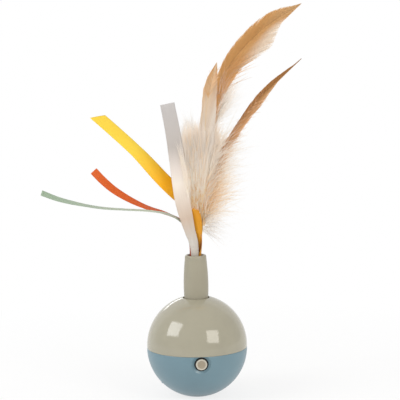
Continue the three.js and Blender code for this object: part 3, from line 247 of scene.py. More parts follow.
def ribbon(node, place, line, widths, faces, material, slant=0.0):
    """A ribbon along its line, in place of a CAD node: gathered at the mouth and flat further out.
    widths has rows of share of length and width, and faces of share and the way its flat side faces."""
    count = 140
    columns = 13
    camber = 0.03
    gathered_below = 0.9
    lost_width_per_fold = 8
    deepest_fold = 0.5
    slant_part = 0.15
    thickness = 0.2 * millimetre
    middle = head_line(place, line, count)
    share = np.linspace(0, 1, count)
    along = unit(np.gradient(middle, axis=0))
    side = unit(np.cross(along, from_rows(faces, share)))
    face = unit(np.cross(side, along))
    width = blurred(from_rows(widths, share), span=13)
    widest = width.max()
    lost_width = np.sqrt(np.maximum(widest ** 2 - width ** 2, 0))
    fold = np.minimum(lost_width / lost_width_per_fold, deepest_fold)
    fold = blurred(fold * (width < gathered_below * widest), span=17)
    step = np.linspace(-0.5, 0.5, columns)
    points = []
    cloth = []
    for i in range(count):
        lift = fold[i] * np.cos(2 * math.pi * step) + camber * width[i] * np.cos(math.pi * step)
        skew = slant * step * width[i] * max(0, (share[i] - (1 - slant_part)) / slant_part)
        for k in range(columns):
            away = side[i] * step[k] * width[i] + face[i] * lift[k] + along[i] * skew[k]
            points.append(middle[i] + away * millimetre)
            cloth.append((step[k], share[i]))
    grid = []
    for i in range(count - 1):
        for k in range(columns - 1):
            corner = i * columns + k
            grid.append((corner, corner + 1, corner + columns + 1, corner + columns))
    piece = add_mesh(node + "_cloth", points, grid, material)
    layer = piece.data.uv_layers.new(name="cloth")
    for corner in piece.data.loops:
        layer.data[corner.index].uv = cloth[corner.vertex_index]
    thick = piece.modifiers.new("thickness", "SOLIDIFY")
    thick.thickness = thickness
    thick.offset = 0
    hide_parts(node)
    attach(piece, "head")
    return piece, middle, steps_between(middle).sum()


front = (0, -1, 0)
# The orange ramp is darker towards the foot: painted shade near and inside the neck.
orange_satin = satin("orange_satin", [
    (0, 176, 60, 30), (0.6, 211, 94, 36), (1, 219, 100, 39)])
orange, orange_line, orange_length = ribbon(
    "ribbon_orange", (-2.3, 0.9),
    [(-2, 1.2, 8), (-3, 1.5, 14.5), (-5.2, 1.8, 20.7), (-9.8, 2.6, 23.7), (-16.1, 4, 26.4),
     (-24.9, 6.5, 29.1), (-35.3, 10, 33.8), (-45.7, 14, 40.3), (-52.5, 17, 46.4), (-57.3, 19.5, 51.7)],
    [(0, 2), (0.3, 2), (0.42, 4), (0.55, 4.8), (1, 4.8)],
    [(0, front), (0.12, front), (0.22, (0.5, -0.75, 0.2)), (0.28, (0.5, -0.4, 0.7)),
     (0.34, (0.4, -0.1, 0.9)), (0.42, (0.35, -0.15, 0.92)), (0.52, (0.25, -0.34, 0.9)),
     (0.62, (0.2, -0.42, 0.87)), (0.85, (0.1, -0.85, 0.5)), (1, (0, -1, 0.1))], orange_satin)
# The green ramp is lighter about half way along and darker at both ends: painted sheen and painted shade.
green_satin = satin("green_satin", [
    (0, 160, 172, 150), (0.35, 180, 187, 168), (0.48, 194, 203, 182), (0.75, 177, 192, 173),
    (1, 162, 182, 157)])
green, green_line, green_length = ribbon(
    "ribbon_green", (-1.6, -0.9),
    [(-2.2, -0.7, 8), (-3.4, -0.5, 14.5), (-5.4, -0.4, 20.1), (-10, -0.6, 23.9), (-15.9, -0.9, 26.6),
     (-25.4, -1.6, 28.7), (-39.6, -2.8, 30.3), (-53.7, -3.8, 32), (-67.6, -4.8, 35.1), (-79.2, -5.6, 38.6),
     (-88.6, -6.3, 42.7)],
    [(0, 1.8), (0.2, 1.8), (0.3, 3), (0.4, 3.6), (1, 3.6)],
    [(0, front), (0.1, front), (0.22, (0.5, -0.75, 0.2)), (0.28, (0.5, -0.5, 0.6)),
     (0.34, (0.35, -0.26, 0.88)), (0.44, (0.15, -0.16, 0.96)), (0.6, (0.05, -0.18, 0.97)),
     (0.78, (0.05, -0.32, 0.93)), (1, (0.2, -0.8, 0.56))], green_satin)

# Wide ribbons: a white and a yellow satin ribbon, about ten millimetres wide, the yellow one cut on a slant.
# Both are gathered to go into the neck and open out above it, the yellow one behind the white.
# The white ramp paints light and shade along the ribbon: a painted sheen band a little past half way, painted
# shade low down and towards the end.
white_satin = satin("white_satin", [
    (0, 200, 188, 172), (0.23, 222, 215, 206), (0.36, 220, 199, 180), (0.56, 252, 244, 233),
    (0.63, 242, 232, 224), (0.76, 204, 196, 190), (1, 209, 205, 203)], clear=0.2)
white, _, white_length = ribbon(
    "ribbon_white", (-0.6, -2.4),
    [(-0.6, -2.5, 9.2), (-2.0, -2.7, 15.2), (-4.1, -3.1, 24.3), (-6.1, -3.8, 34.6), (-7.3, -4.6, 45.5),
     (-8.6, -5.3, 58.6), (-10.7, -6.2, 76.4), (-13.3, -7, 92)],
    [(0, 3.4), (0.14, 4.2), (0.2, 5), (0.225, 5.3), (0.28, 6), (0.365, 8), (0.46, 9), (0.56, 9.4),
     (0.7, 9.2), (1, 8.4)],
    [(0, front), (1, front)], white_satin)
# The yellow ramp is darker and more orange towards the foot, painted shade under the white ribbon and near
# the neck, and lightest towards the end.
yellow_satin = satin("yellow_satin", [
    (0, 186, 126, 56), (0.25, 226, 158, 38), (0.33, 226, 154, 32), (0.54, 255, 184, 10),
    (0.76, 255, 221, 72), (1, 255, 220, 74)])
yellow, _, yellow_length = ribbon(
    "ribbon_yellow", (2.2, -0.6),
    [(3.4, -1, 9.6), (3, -1.2, 17.8), (1.6, -1, 25), (-2.6, -0.4, 31.7), (-8.3, 0.8, 37.5),
     (-17.3, 3.5, 47.1), (-30.7, 7.5, 62.5), (-44.3, 11.5, 75.9), (-53.7, 14, 84.7)],
    [(0, 2.2), (0.2, 2.2), (0.24, 3.4), (0.28, 5.2), (0.33, 5.8), (0.4, 7.2), (0.46, 8.2), (0.57, 8.8),
     (0.74, 9.3), (1, 9)],
    [(0, front), (0.45, front), (0.75, (0.45, -0.77, 0.45)), (1, (0.45, -0.77, 0.45))], yellow_satin,
    slant=-0.55)

# Lower shell: a dusty blue moulded bowl with a satin skin and a flat spot that it stands on.
# It has the button's dished hole in front, two screw pockets below and the battery bay behind.
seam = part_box("upper_shell")[0].z / millimetre
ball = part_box("upper_shell")[1].x / millimetre
wall = 2.0
bay_low, bay_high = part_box("battery_door")
bay_radius = (bay_high.z - bay_low.z) / 2 / millimetre
bay_z = (bay_high.z + bay_low.z) / 2 / millimetre
bay_floor = bay_low.y / millimetre
cell_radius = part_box("battery_cell_1")[1].x / millimetre
fit = 0.3
bore_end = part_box("battery_spring")[0].y / millimetre - fit
ear_radius = 2.8
ear_reach = bay_high.x / millimetre - ear_radius
button_low, button_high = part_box("power_button")
button_z = (button_low.z + button_high.z) / 2 / millimetre


def arc(radius, centre, start, end, steps, out=0.0):
    """Points of radius and height on part of a circle, between two angles in degrees."""
    turn = [math.radians(start + (end - start) * i / steps) for i in range(steps + 1)]
    return [(out + radius * math.cos(t), centre + radius * math.sin(t)) for t in turn]


def turned(name, profile, material, steps, axis="z", centre=(0, 0, 0)):
    """A closed profile of radius and height in millimetres, turned about an upright or front-to-back axis."""
    points = []
    rings = []
    for radius, height in profile:
        if radius < 1e-6:
            rings.append([len(points)] * steps)
            points.append((0, 0, height))
            continue
        rings.append(list(range(len(points), len(points) + steps)))
        for k in range(steps):
            angle = 2 * math.pi * k / steps
            points.append((radius * math.cos(angle), radius * math.sin(angle), height))
    faces = []
    closed = profile[0][0] > 1e-6 or profile[-1][0] > 1e-6
    for i in range(len(rings) if closed else len(rings) - 1):
        low, high = rings[i], rings[(i + 1) % len(rings)]
        for k in range(steps):
            n = (k + 1) % steps
            corners = []
            for corner in (low[k], low[n], high[n], high[k]):
                if corner not in corners:
                    corners.append(corner)
            if len(corners) > 2:
                faces.append(corners)
    if axis == "y":
        points = [(x, -z, y) for x, y, z in points]
        faces = [face[::-1] for face in faces]
    points = [tuple((p + c) * millimetre for p, c in zip(point, centre)) for point in points]
    return add_mesh(name, points, faces, material)


def outward(piece):
    """Turns a closed piece's faces to point out."""
    shape = bmesh.new()
    shape.from_mesh(piece.data)
    bmesh.ops.recalc_face_normals(shape, faces=shape.faces)
    shape.to_mesh(piece.data)
    shape.free()
    return piece


def prism(name, outline, low, high, material):
    """A straight-sided piece along y, from an outline of x and z points in millimetres."""
    count = len(outline)
    points = [(x * millimetre, y * millimetre, z * millimetre) for y in (low, high) for x, z in outline]
    faces = [list(range(count)), list(range(2 * count - 1, count - 1, -1))]
    faces += [(k, k + count, (k + 1) % count + count, (k + 1) % count) for k in range(count)]
    return outward(add_mesh(name, points, faces, material))


def combine(piece, operation, *others):
    """Joins other pieces to this one, cuts them out of it or keeps what they share, and removes them."""
    for other in others:
        outward(other)
        step = piece.modifiers.new("combine", "BOOLEAN")
        step.operation = operation
        step.solver = "EXACT"
        step.object = other
        state = bpy.context.evaluated_depsgraph_get()
        shaped = bpy.data.meshes.new_from_object(piece.evaluated_get(state))
        piece.modifiers.remove(step)
        piece.data = shaped
        bpy.data.objects.remove(other)
    piece.data.shade_smooth()
    sharp_edge = math.radians(32)
    piece.data.set_sharp_from_angle(angle=sharp_edge)
    return piece


def plastic(name, colour, roughness, grain=0.08, gloss=0.5):
    """Moulded plastic: faintly uneven in colour and gloss, with a fine skin."""
    material, nodes, links, shader = new_material(name, roughness)
    place = nodes.new("ShaderNodeTexCoord")
    cloud = add_node(nodes, "ShaderNodeTexNoise", {"Scale": 60, "Detail": 4})
    links.new(place.outputs["Object"], cloud.inputs["Vector"])
    dark = [value * 0.97 for value in colour[:3]] + [1]
    light = [min(1, value * 1.03) for value in colour[:3]] + [1]
    tone = ramp(nodes, [(0.3, dark), (0.7, light)])
    links.new(cloud.outputs["Fac"], tone.inputs["Fac"])
    links.new(tone.outputs["Color"], shader.inputs["Base Color"])
    dull = add_node(nodes, "ShaderNodeMapRange", {"To Min": roughness * 0.9, "To Max": roughness * 1.15})
    links.new(cloud.outputs["Fac"], dull.inputs["Value"])
    links.new(dull.outputs["Result"], shader.inputs["Roughness"])
    skin = add_node(nodes, "ShaderNodeTexNoise", {"Scale": 1800})
    links.new(place.outputs["Object"], skin.inputs["Vector"])
    bump = add_node(nodes, "ShaderNodeBump", {"Strength": grain, "Distance": 0.00005})
    links.new(skin.outputs["Fac"], bump.inputs["Height"])
    links.new(bump.outputs["Normal"], shader.inputs["Normal"])
    shader.inputs["Specular IOR Level"].default_value = gloss
    return material


def rod(name, radius, low, high, steps, centre, axis="y"):
    """A cylinder of the lower shell's plastic, to join on or cut away, between two heights on its axis."""
    profile = [(0, low), (radius, low), (radius, high), (0, high)]
    return turned(name, profile, lower_blue, steps=steps, axis=axis, centre=centre)


def hatch_outline(grow, steps=48):
    """The hatch seen from behind: a disc with a round-ended ear for its screw."""
    disc = bay_radius + grow
    ear = ear_radius + grow
    meet = math.degrees(math.asin(ear / disc))
    points = [(x, bay_z + z) for x, z in arc(disc, 0, meet, 360 - meet, steps)]
    points += [(x, bay_z + z) for x, z in arc(ear, 0, -90, 90, 16, out=ear_reach)]
    return points


lower_blue = plastic("lower_blue", screen(101, 132, 144), 0.34, grain=0.12, gloss=0.9)
screw_x = 18.5
bay_centre = (0, 0, bay_z)
ear_centre = (ear_reach, 0, bay_z)
clear_of_ball = ball + 1
lower = turned("lower_shell_skin", [
    (0, 0), (5.4, 0), (5.8, 0.04), *arc(ball, seam, -78.2, -0.6, 96),
    (29.97, seam - 0.14), (29.9, seam - 0.04), (29.7, seam), (28.8, seam), (28.8, seam + 2),
    (28.1, seam + 2), *arc(ball - wall, seam, 0, -90, 64)], lower_blue, steps=192)
outward(lower)
lower_bosses = [rod("boss", 3.3, 8, seam - 2, 40, (x, 0, 0), axis="z") for x in (-screw_x, screw_x)]
bay_tube = rod("bay_tube", cell_radius + 1.5, -bore_end + 1.2, -28.2, 72, bay_centre)
bay_collar = prism("bay_collar", hatch_outline(1.1), bay_floor - 2.4, ball, lower_blue)
inner_ball = turned("inner_ball", arc(ball - wall / 2, seam, -90, 90, 48), lower_blue, steps=96)
combine(bay_tube, "UNION", bay_collar)
combine(bay_tube, "INTERSECT", inner_ball)
combine(lower, "UNION", *lower_bosses, bay_tube)
button_cut = rod("button_cut", 4.2, 24, 31, 96, (0, 0, button_z))
down_tilt = math.asin((seam - button_z) / ball)
dish_out = ball + 6.3
dish_cut = turned("dish_cut", arc(9, 0, -90, 90, 64), lower_blue, steps=128,
                  centre=(0, -dish_out * math.cos(down_tilt), seam - dish_out * math.sin(down_tilt)))
pocket = [(0, -1), (2.6, -1), (2.4, 8), (2.4, seam - 8), (0, seam - 8)]
pocket_cuts = []
for x in (-screw_x, screw_x):
    pocket_cuts.append(turned("pocket", pocket, lower_blue, steps=40, centre=(x, 0, 0)))
bay_bore = rod("bay_bore", cell_radius + fit, -bore_end, -31, 72, bay_centre)
bay_pocket = prism("bay_pocket", hatch_outline(fit), bay_floor, clear_of_ball, lower_blue)
ear_pilot = rod("ear_pilot", 1.2, -15, -24, 24, ear_centre)
combine(lower, "DIFFERENCE", button_cut, dish_cut, *pocket_cuts, bay_bore, bay_pocket, ear_pilot)
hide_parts("lower_shell")
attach(lower, "ball")

# Upper shell: a glossy warm grey dome that closes the ball, with a short straight band at the seam.
# The hole at its top has a rounded edge and clears the turning neck.
hole_radius = 7.95
dome = seam + 1.2
hole_angle = math.degrees(math.acos((hole_radius + 0.35) / ball))
upper_grey = plastic("upper_grey", screen(160, 155, 136), 0.1, grain=0.0, gloss=0.75)
upper = turned("upper_shell_skin", [
    (29.7, seam + 0.02), (29.92, seam + 0.06), (29.98, seam + 0.16), (ball, seam + 0.3),
    *arc(ball, dome, 0, hole_angle, 110),
    (8.12, dome + 28.78), (8.0, dome + 28.7), (hole_radius, dome + 28.55), (hole_radius, dome + 26.9),
    *arc(ball - wall, dome, 73.5, 0, 64),
    (28, seam + 2.4), (29.1, seam + 2.2), (29.1, seam + 0.02)], upper_grey, steps=256)
outward(upper)
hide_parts("upper_shell")
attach(upper, "ball")

# Button: a small ivory press button in the lower shell's hole, moulded with a raised rim.
# Its shallow beige middle is where a finger presses; its rim is painted lighter as a painted highlight, and
# its sides and flange are painted dark as painted shade in the gap round it.
button_face = -button_low.y / millimetre
button_back = -button_high.y / millimetre
button_ivory, nodes, links, shader = new_material("button_ivory", 0.4)
place = nodes.new("ShaderNodeTexCoord")
middle_of_face = (0, button_low.y, button_z * millimetre)
shift = add_node(nodes, "ShaderNodeVectorMath", {1: middle_of_face}, operation="DISTANCE")
links.new(place.outputs["Object"], shift.inputs[0])
ring = add_node(nodes, "ShaderNodeMapRange", {"From Max": 0.004})
links.new(shift.outputs["Value"], ring.inputs["Value"])
# Out from the middle of the face: beige middle, a lighter rim that is a painted highlight, then dark grey
# that is painted shade on the sides and flange in the gap.
tone = ramp(nodes, [
    (0.0, screen(155, 143, 123)), (0.55, screen(158, 147, 128)), (0.7, screen(202, 196, 180)),
    (0.8, screen(196, 190, 176)), (0.86, screen(84, 84, 80)), (1, screen(40, 42, 42))])
links.new(ring.outputs["Result"], tone.inputs["Fac"])
links.new(tone.outputs["Color"], shader.inputs["Base Color"])
button = turned("button_cap", [
    (0, button_face - 0.4), (1.6, button_face - 0.36), (2.2, button_face - 0.22), (2.5, button_face - 0.06),
    (2.75, button_face), (3.0, button_face - 0.05), (3.2, button_face - 0.2), (3.3, button_face - 0.45),
    (3.3, 27), (4.7, 27), (4.7, button_back), (0, button_back)],
    button_ivory, steps=72, axis="y", centre=(0, 0, button_z))
outward(button)
button.data.set_sharp_from_angle(angle=math.radians(40))
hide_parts("power_button")
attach(button, "button")

# Battery hatch: a round blue lid with a screw ear, its outside curved with the ball.
# It is screwed over the battery bay at the back.
hatch = prism("battery_hatch_skin", hatch_outline(0, steps=96), bay_floor, clear_of_ball, lower_blue)
hatch_ball = turned("hatch_ball", arc(ball, seam, -90, 90, 160), lower_blue, steps=256)
combine(hatch, "INTERSECT", hatch_ball)
hatch_inside = -bay_floor + 1
screw_ledge = -bay_floor - 1.2
hatch_hollow = rod("hatch_hollow", bay_radius - 1.2, hatch_inside, -25.5, 72, bay_centre)
screw_seat = turned("screw_seat", [
    (0, hatch_inside), (1.2, hatch_inside), (1.2, screw_ledge), (1.9, screw_ledge), (1.9, -31), (0, -31)],
    lower_blue, steps=40, axis="y", centre=ear_centre)
combine(hatch, "DIFFERENCE", hatch_hollow, screw_seat)
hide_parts("battery_door")
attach(hatch, "battery_hatch")

# Neck: a plain grey plastic sleeve with a rounded mouth, driven round by the motor.
# Its foot goes through the dome's hole to a flange below, and the plume is glued inside.
neck_grey = plastic("neck_grey", screen(157, 151, 132), 0.38, grain=0.12)
neck_foot = seam + 30.127
lip = mouth / millimetre + 1
neck_rise = lip - neck_foot
side_line = smooth_line([
    (7.2, 0, neck_foot - 2.6), (7.2, 0, neck_foot), (7.4, 0, neck_foot + neck_rise * 0.25),
    (7.2, 0, neck_foot + neck_rise * 0.55), (6.37, 0, lip - 0.9)], 40)
neck = turned("neck_sleeve", [
    (0, seam + 25.8), (9.05, seam + 25.8), (9.05, seam + 27.3), (7.2, seam + 27.3),
    *[(r, z) for r, _, z in side_line],
    *arc(0.85, lip - 0.85, 0, 180, 14, out=5.5), (4.7, lip - 2), (5.3, lip - 3), (5.3, seam + 34.6),
    (0, seam + 34.6)], neck_grey, steps=128)
outward(neck)
neck.data.set_sharp_from_angle(angle=math.radians(40))
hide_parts("neck")
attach(neck, "head")

# Feathers: two tan hackles and a narrow brown one, each a quill with a vane of fine barbs.
# The barbs sweep up along the quill; they are pale and loose low down, and firm and tan above.
dice = random.Random(7)


def feather_material(name, clear=0.35):
    """Keratin barbs: the colour of each barb is on the mesh, and some light goes through it."""
    material, nodes, links, shader = new_material(name, 0.55)
    tint = add_node(nodes, "ShaderNodeVertexColor", layer_name="tint")
    links.new(tint.outputs["Color"], shader.inputs["Base Color"])
    shader.inputs["Specular IOR Level"].default_value = 0.2
    let_light_through(nodes, links, shader, tint.outputs["Color"], clear)
    return material


class Strands:
    """Gathers thin strips and tubes with a colour at each point, for one mesh."""

    def __init__(self):
        self.points = []
        self.faces = []
        self.colours = []

    def strip(self, line, widths, flat, colours):
        """A thin strip along a line, as wide as given at each point in the direction of flat."""
        start = len(self.points)
        for point, width, side, colour in zip(line, widths, flat, colours):
            self.points += [point - side * width / 2, point + side * width / 2]
            self.colours += [colour, colour]
        for i in range(len(line) - 1):
            k = start + 2 * i
            self.faces.append((k, k + 1, k + 3, k + 2))

    def tube(self, line, radii, colours):
        """A closed six-sided tube along a line."""
        sides = 6
        start = len(self.points)
        along = unit(np.gradient(line, axis=0))
        first = unit(np.cross(along, np.array([[0.0, 1.0, 0.1]])))
        second = np.cross(along, first)
        for i in range(len(line)):
            for k in range(sides):
                angle = 2 * math.pi * k / sides
                away = first[i] * math.cos(angle) + second[i] * math.sin(angle)
                self.points.append(line[i] + radii[i] * away)
                self.colours.append(colours[i])
        for i in range(len(line) - 1):
            for k in range(sides):
                corner = start + i * sides + k
                beside = start + i * sides + (k + 1) % sides
                self.faces.append((corner, beside, beside + sides, corner + sides))
        end = start + (len(line) - 1) * sides
        self.faces.append(tuple(range(start + sides - 1, start - 1, -1)))
        self.faces.append(tuple(range(end, end + sides)))

    def piece(self, name, material):
        """The mesh of all that was gathered."""
        made = add_mesh(name, self.points, self.faces, material)
        tint = made.data.color_attributes.new("tint", "FLOAT_COLOR", "POINT")
        tint.data.foreach_set("color", np.array(self.colours, np.float32).ravel())
        return made


def feather(name, place, line, sides, quill_colours, start, loose, barbs=800, sweep=20, quill=0.5):
    """A quill with a vane on each side. A side has rows of width in millimetres, and of colour at the quill
    and at the edge, along the quill. Loose barbs have a side, the shares of the quill between which they
    start, a number, a longest length and a colour."""
    count = 240
    last_barb = 0.995
    settling_steps = 14
    barb_width = 0.34 * millimetre
    loose_width = 0.24 * millimetre
    middle = head_line(place, line, count)
    spots = np.linspace(0, 1, count)
    length = steps_between(middle).sum() / millimetre
    along = unit(np.gradient(middle, axis=0))
    side = unit(np.cross(along, np.array([[0.0, -1.0, 0.0]])))
    face = unit(np.cross(side, along))

    def at(values, share):
        """Values of the quill at some shares of its length."""
        return np.stack([np.interp(share, spots, values[:, k]) for k in range(3)], 1)

    strands = Strands()
    strands.tube(middle, quill * millimetre * (1 - 0.9 * spots), list(from_rows(quill_colours, spots)))
    taper = np.array([1, 1, 1, 0.95, 0.85, 0.7, 0.45, 0.1])
    reach = np.linspace(0, 1, len(taper))
    toward_edge = np.clip((reach - 0.25) / 0.5, 0, 1)[:, None]
    for sign, (widths, inner, outer) in zip((-1, 1), sides):
        clump_end = 0
        for barb in range(barbs):
            if barb >= clump_end:
                clump_end = barb + dice.randint(12, 45)
                lean = dice.gauss(0, 0.9)
                trim = 1 - abs(dice.gauss(0, 0.012))
                layer = dice.uniform(-0.08, 0.08)
            foot = start + (last_barb - start) * (barb + dice.random()) / barbs
            climb = 1 / math.tan(math.radians(sweep + lean + dice.gauss(0, 0.8))) / length
            end = foot
            for _ in range(settling_steps):
                end = 0.5 * end + 0.5 * min(0.999, foot + from_rows(widths, end) * climb)
            width = from_rows(widths, end) * trim * dice.uniform(0.94, 1.03)
            share = foot + (end - foot) * reach
            out = (sign * (width * reach ** 0.9))[:, None]
            lift = (layer - 0.1 * width * reach ** 2)[:, None]
            path = at(middle, share) + (at(side, share) * out + at(face, share) * lift) * millimetre
            flow = unit(np.gradient(path, axis=0) + 1e-9)
            tilt = at(face, share) + at(along, share) * (0.3 + dice.gauss(0, 0.04))
            shade = 1 + dice.gauss(0, 0.04)
            tones = from_rows(inner, end) + (from_rows(outer, end) - from_rows(inner, end)) * toward_edge
            tones = np.clip(tones * shade, 0, 1)
            tones[:, 3] = 1
            strands.strip(path, barb_width * taper, unit(np.cross(flow, tilt)), tones)
    for sign, first, last, number, longest, colour in loose:
        for _ in range(number):
            share = np.full(len(taper), dice.uniform(first, last))
            lean = math.radians(dice.uniform(16, 42))
            run = (longest * dice.uniform(0.5, 1) * reach)[:, None]
            curl = dice.gauss(0, 0.12) * run * reach[:, None]
            path = at(along, share) * math.cos(lean) + at(side, share) * sign * math.sin(lean)
            path = path * run + at(face, share) * (0.3 + 0.1 * run) + at(side, share) * curl
            path = at(middle, share) + path * millimetre
            flow = unit(np.gradient(path, axis=0))
            tone = np.clip(np.array(colour) * (1 + dice.gauss(0, 0.08)), 0, 1)
            tone[3] = 1
            flat = unit(np.cross(flow, at(face, share)))
            strands.strip(path, loose_width * taper, flat, [tone] * len(taper))
    piece = strands.piece(name + "_vane", feather_material(name + "_keratin"))
    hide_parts(name)
    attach(piece, "head")


tan = screen(223, 173, 110)
deep_tan = screen(213, 160, 97)
tip_tan = screen(222, 186, 138)
pale_tan = screen(228, 204, 180)
cream = screen(232, 218, 202)
milk = screen(244, 236, 226)
dusk = screen(230, 224, 220)
quill_foot = screen(120, 76, 30)
quill_cream = screen(240, 218, 180)
feather(
    "feather_long", (2.6, 0.9),
    [(5.8, 0.8, 18.6), (9.9, 0.6, 51.4), (14.1, 1.6, 86.8), (23.9, 3.2, 111), (45, 5.2, 132.8),
     (69.4, 6.2, 147.6)],
    [([(0.36, 0.5), (0.46, 2.4), (0.6, 3.2), (0.68, 4), (0.707, 4.9), (0.772, 5.8), (0.815, 6),
       (0.857, 6.1), (0.897, 5.7), (0.937, 4.2), (0.972, 1.7), (1, 0.1)],
      [(0.4, cream), (0.5, pale_tan), (0.58, tan), (0.9, deep_tan), (1, screen(220, 182, 132))],
      [(0.4, milk), (0.5, cream), (0.6, tan), (0.9, tan), (1, tip_tan)]),
     ([(0.36, 0.5), (0.46, 2.6), (0.586, 4.8), (0.647, 6.2), (0.684, 6.8), (0.722, 7.4), (0.769, 9.7),
       (0.812, 11.7), (0.84, 11.5), (0.872, 8.7), (0.915, 3.8), (0.945, 2.4), (0.98, 0.8), (1, 0.1)],
      [(0.4, cream), (0.5, pale_tan), (0.58, tan), (0.9, tan), (1, tip_tan)],
      [(0.4, milk), (0.5, cream), (0.6, tan), (0.71, tan), (0.75, screen(232, 204, 172)),
       (0.8, screen(242, 228, 212)), (0.9, screen(242, 226, 206)), (0.95, tan), (1, tip_tan)])],
    [(0, quill_foot), (0.12, screen(150, 100, 44)), (0.18, screen(232, 206, 160)),
     (0.45, screen(240, 222, 196)), (0.6, screen(206, 156, 102)), (1, screen(180, 130, 80))],
    start=0.34, loose=[(1, 0.56, 0.71, 36, 24, screen(224, 178, 122))])
short_inner = [(0.4, dusk), (0.8, screen(240, 227, 212)), (1, screen(242, 216, 182))]
feather(
    "feather_short", (0.8, 0.5),
    [(2.8, -2.2, 5), (4.1, -2.5, 10), (3.8, 0.2, 16), (4.8, 0.4, 36), (6.9, -2.6, 56), (8.4, -4.4, 75.6),
     (10.6, -6, 93), (16.4, -8, 115)],
    [([(0.48, 0.6), (0.57, 3.6), (0.64, 4.4), (0.729, 3.2), (0.782, 2.8), (0.827, 3.3), (0.877, 3.8),
       (0.93, 3.2), (0.987, 0.7), (1, 0.1)],
      short_inner,
      [(0.4, dusk), (0.7, screen(238, 224, 208)), (0.8, screen(238, 217, 190)),
       (0.9, screen(238, 206, 164)), (1, tan)]),
     ([(0.48, 0.6), (0.57, 4.4), (0.65, 6), (0.8, 5.8), (0.9, 3.8), (0.97, 1.4), (1, 0.1)],
      short_inner,
      [(0.4, dusk), (0.8, screen(244, 234, 222)), (1, tan)])],
    [(0, quill_foot), (0.18, screen(138, 78, 24)), (0.21, screen(226, 156, 40)), (0.26, quill_cream),
     (1, screen(244, 222, 190))],
    sweep=14, start=0.46, quill=0.65,
    loose=[(1, 0.84, 0.96, 30, 7, screen(240, 208, 168)), (-1, 0.84, 0.96, 24, 6, screen(234, 194, 144))])
feather(
    "feather_brown", (1.4, 2.8),
    [(6.5, 3.2, 22.5), (13.6, 0.6, 50), (25.4, 2.6, 71.3), (41.1, 6, 91), (68.8, 7.2, 115.2)],
    [([(0.42, 0.3), (0.5, 1), (0.56, 1.7), (0.614, 1.6), (0.664, 1.4), (0.714, 1.8), (0.762, 2.3),
       (0.857, 2.3), (0.922, 1.3), (0.96, 0.4), (1, 0.1)],
      [(0.4, pale_tan), (0.6, screen(238, 204, 170)), (0.7, screen(204, 146, 86)),
       (1, screen(174, 120, 66))],
      [(0.4, pale_tan), (0.58, screen(222, 180, 138)), (0.68, screen(164, 108, 62)),
       (0.78, screen(198, 142, 84)), (1, screen(170, 118, 68))]),
     ([(0.42, 0.3), (0.48, 1.4), (0.54, 2.8), (0.6, 3.3), (0.66, 3.5), (0.71, 3.8), (0.76, 4), (0.83, 2.1),
       (0.87, 0.9), (0.95, 0.3), (1, 0.1)],
      [(0.4, pale_tan), (0.6, screen(240, 208, 174)), (0.7, screen(216, 162, 102)),
       (1, screen(182, 130, 74))],
      [(0.4, cream), (0.6, screen(246, 220, 194)), (0.7, screen(236, 194, 146)),
       (1, screen(202, 152, 100))])],
    [(0, quill_foot), (0.12, quill_cream), (0.44, screen(236, 212, 182)), (0.56, screen(204, 158, 114)),
     (1, screen(140, 98, 66))],
    sweep=12, barbs=500, start=0.4,
    loose=[(1, 0.38, 0.56, 90, 11, screen(226, 190, 150)), (1, 0.52, 0.76, 70, 9, screen(224, 178, 132)),
           (-1, 0.5, 0.8, 40, 5, screen(206, 158, 114))])

# Down: the fluffy foot of the feathers, a soft cream tuft of fine barbs on a shaft of its own.
# A smooth, dense middle hides the quills, and loose wisps stand out to the right behind the brown feather.
down = Strands()
shaft_steps = 120
down_line = head_line((-1, 2.6), [(0.5, 4.6, 22), (4, 7.5, 45), (9, 9.5, 65), (13, 10.5, 84)], shaft_steps)
shares = np.linspace(0, 1, shaft_steps)
shaft_tones = from_rows([(0, screen(150, 100, 40)), (0.3, cream), (1, cream)], shares)
down.tube(down_line, 0.4 * millimetre * (1 - 0.8 * shares), list(shaft_tones))
# The tuft's middle line and half widths at these heights above the mouth, in millimetres.
heights = [18, 30, 45, 63, 77, 88]
middles = [5, 4.6, 5, 5.8, 6.2, 7]
left_halves = [3, 6, 10, 9.4, 5, 2]
right_halves = [3, 3.6, 5, 8.4, 6.4, 2]
front_heights = [28, 36, 50, 72]
warm = screen(252, 236, 206)
ivory = screen(254, 248, 238)
pale = screen(255, 249, 242)
rose = screen(251, 237, 218)
peach = screen(240, 208, 160)
honey = screen(249, 220, 176)
mist = screen(242, 236, 228)
smoke = screen(222, 217, 212)
snow = screen(255, 254, 252)


def any_direction():
    """A direction drawn at random."""
    return np.array([dice.gauss(0, 1), dice.gauss(0, 1), dice.gauss(0, 1)])


def wisp(origin, lean, depth, length, bend, width, colour, wave, turned_any=True):
    """One loose barb, in millimetres: it sets off at an angle from upright, bends, waves and thins out.
    Its flat side is turned any way, or else to the front."""
    taper = np.array([0.6, 1, 1, 0.95, 0.85, 0.7, 0.5, 0.3, 0.08])
    reach = np.linspace(0, 1, len(taper))[:, None]
    heading = unit(np.array([math.sin(math.radians(lean)), depth, math.cos(math.radians(lean))]))
    sideways = unit(np.cross(heading, any_direction()))
    path = np.array(origin)[None] + heading[None] * length * reach
    path += np.array([[0, 0, 1.0]]) * bend * length * reach ** 2
    path += sideways[None] * wave * length * np.sin(reach * dice.uniform(3, 7) + dice.uniform(0, 6)) * reach
    path = leaning(path * millimetre + np.array([[0, 0, mouth]]))
    flow = unit(np.gradient(path, axis=0))
    facing = any_direction() if turned_any else np.array([0.1, 1.0, 0.1])
    flat = unit(np.cross(flow, facing[None]))
    shade = np.clip(np.array(colour) * (1 + dice.gauss(0, 0.02)), 0, 1)
    down.strip(path, width * millimetre * taper, flat, shade + (np.array(pale) - shade) * reach ** 1.5)


def tuft_x(height, halves, share):
    """The place from left to right of a barb at a height, by its share of the tuft's half width there."""
    return np.interp(height, heights, middles) + np.interp(height, heights, halves) * share


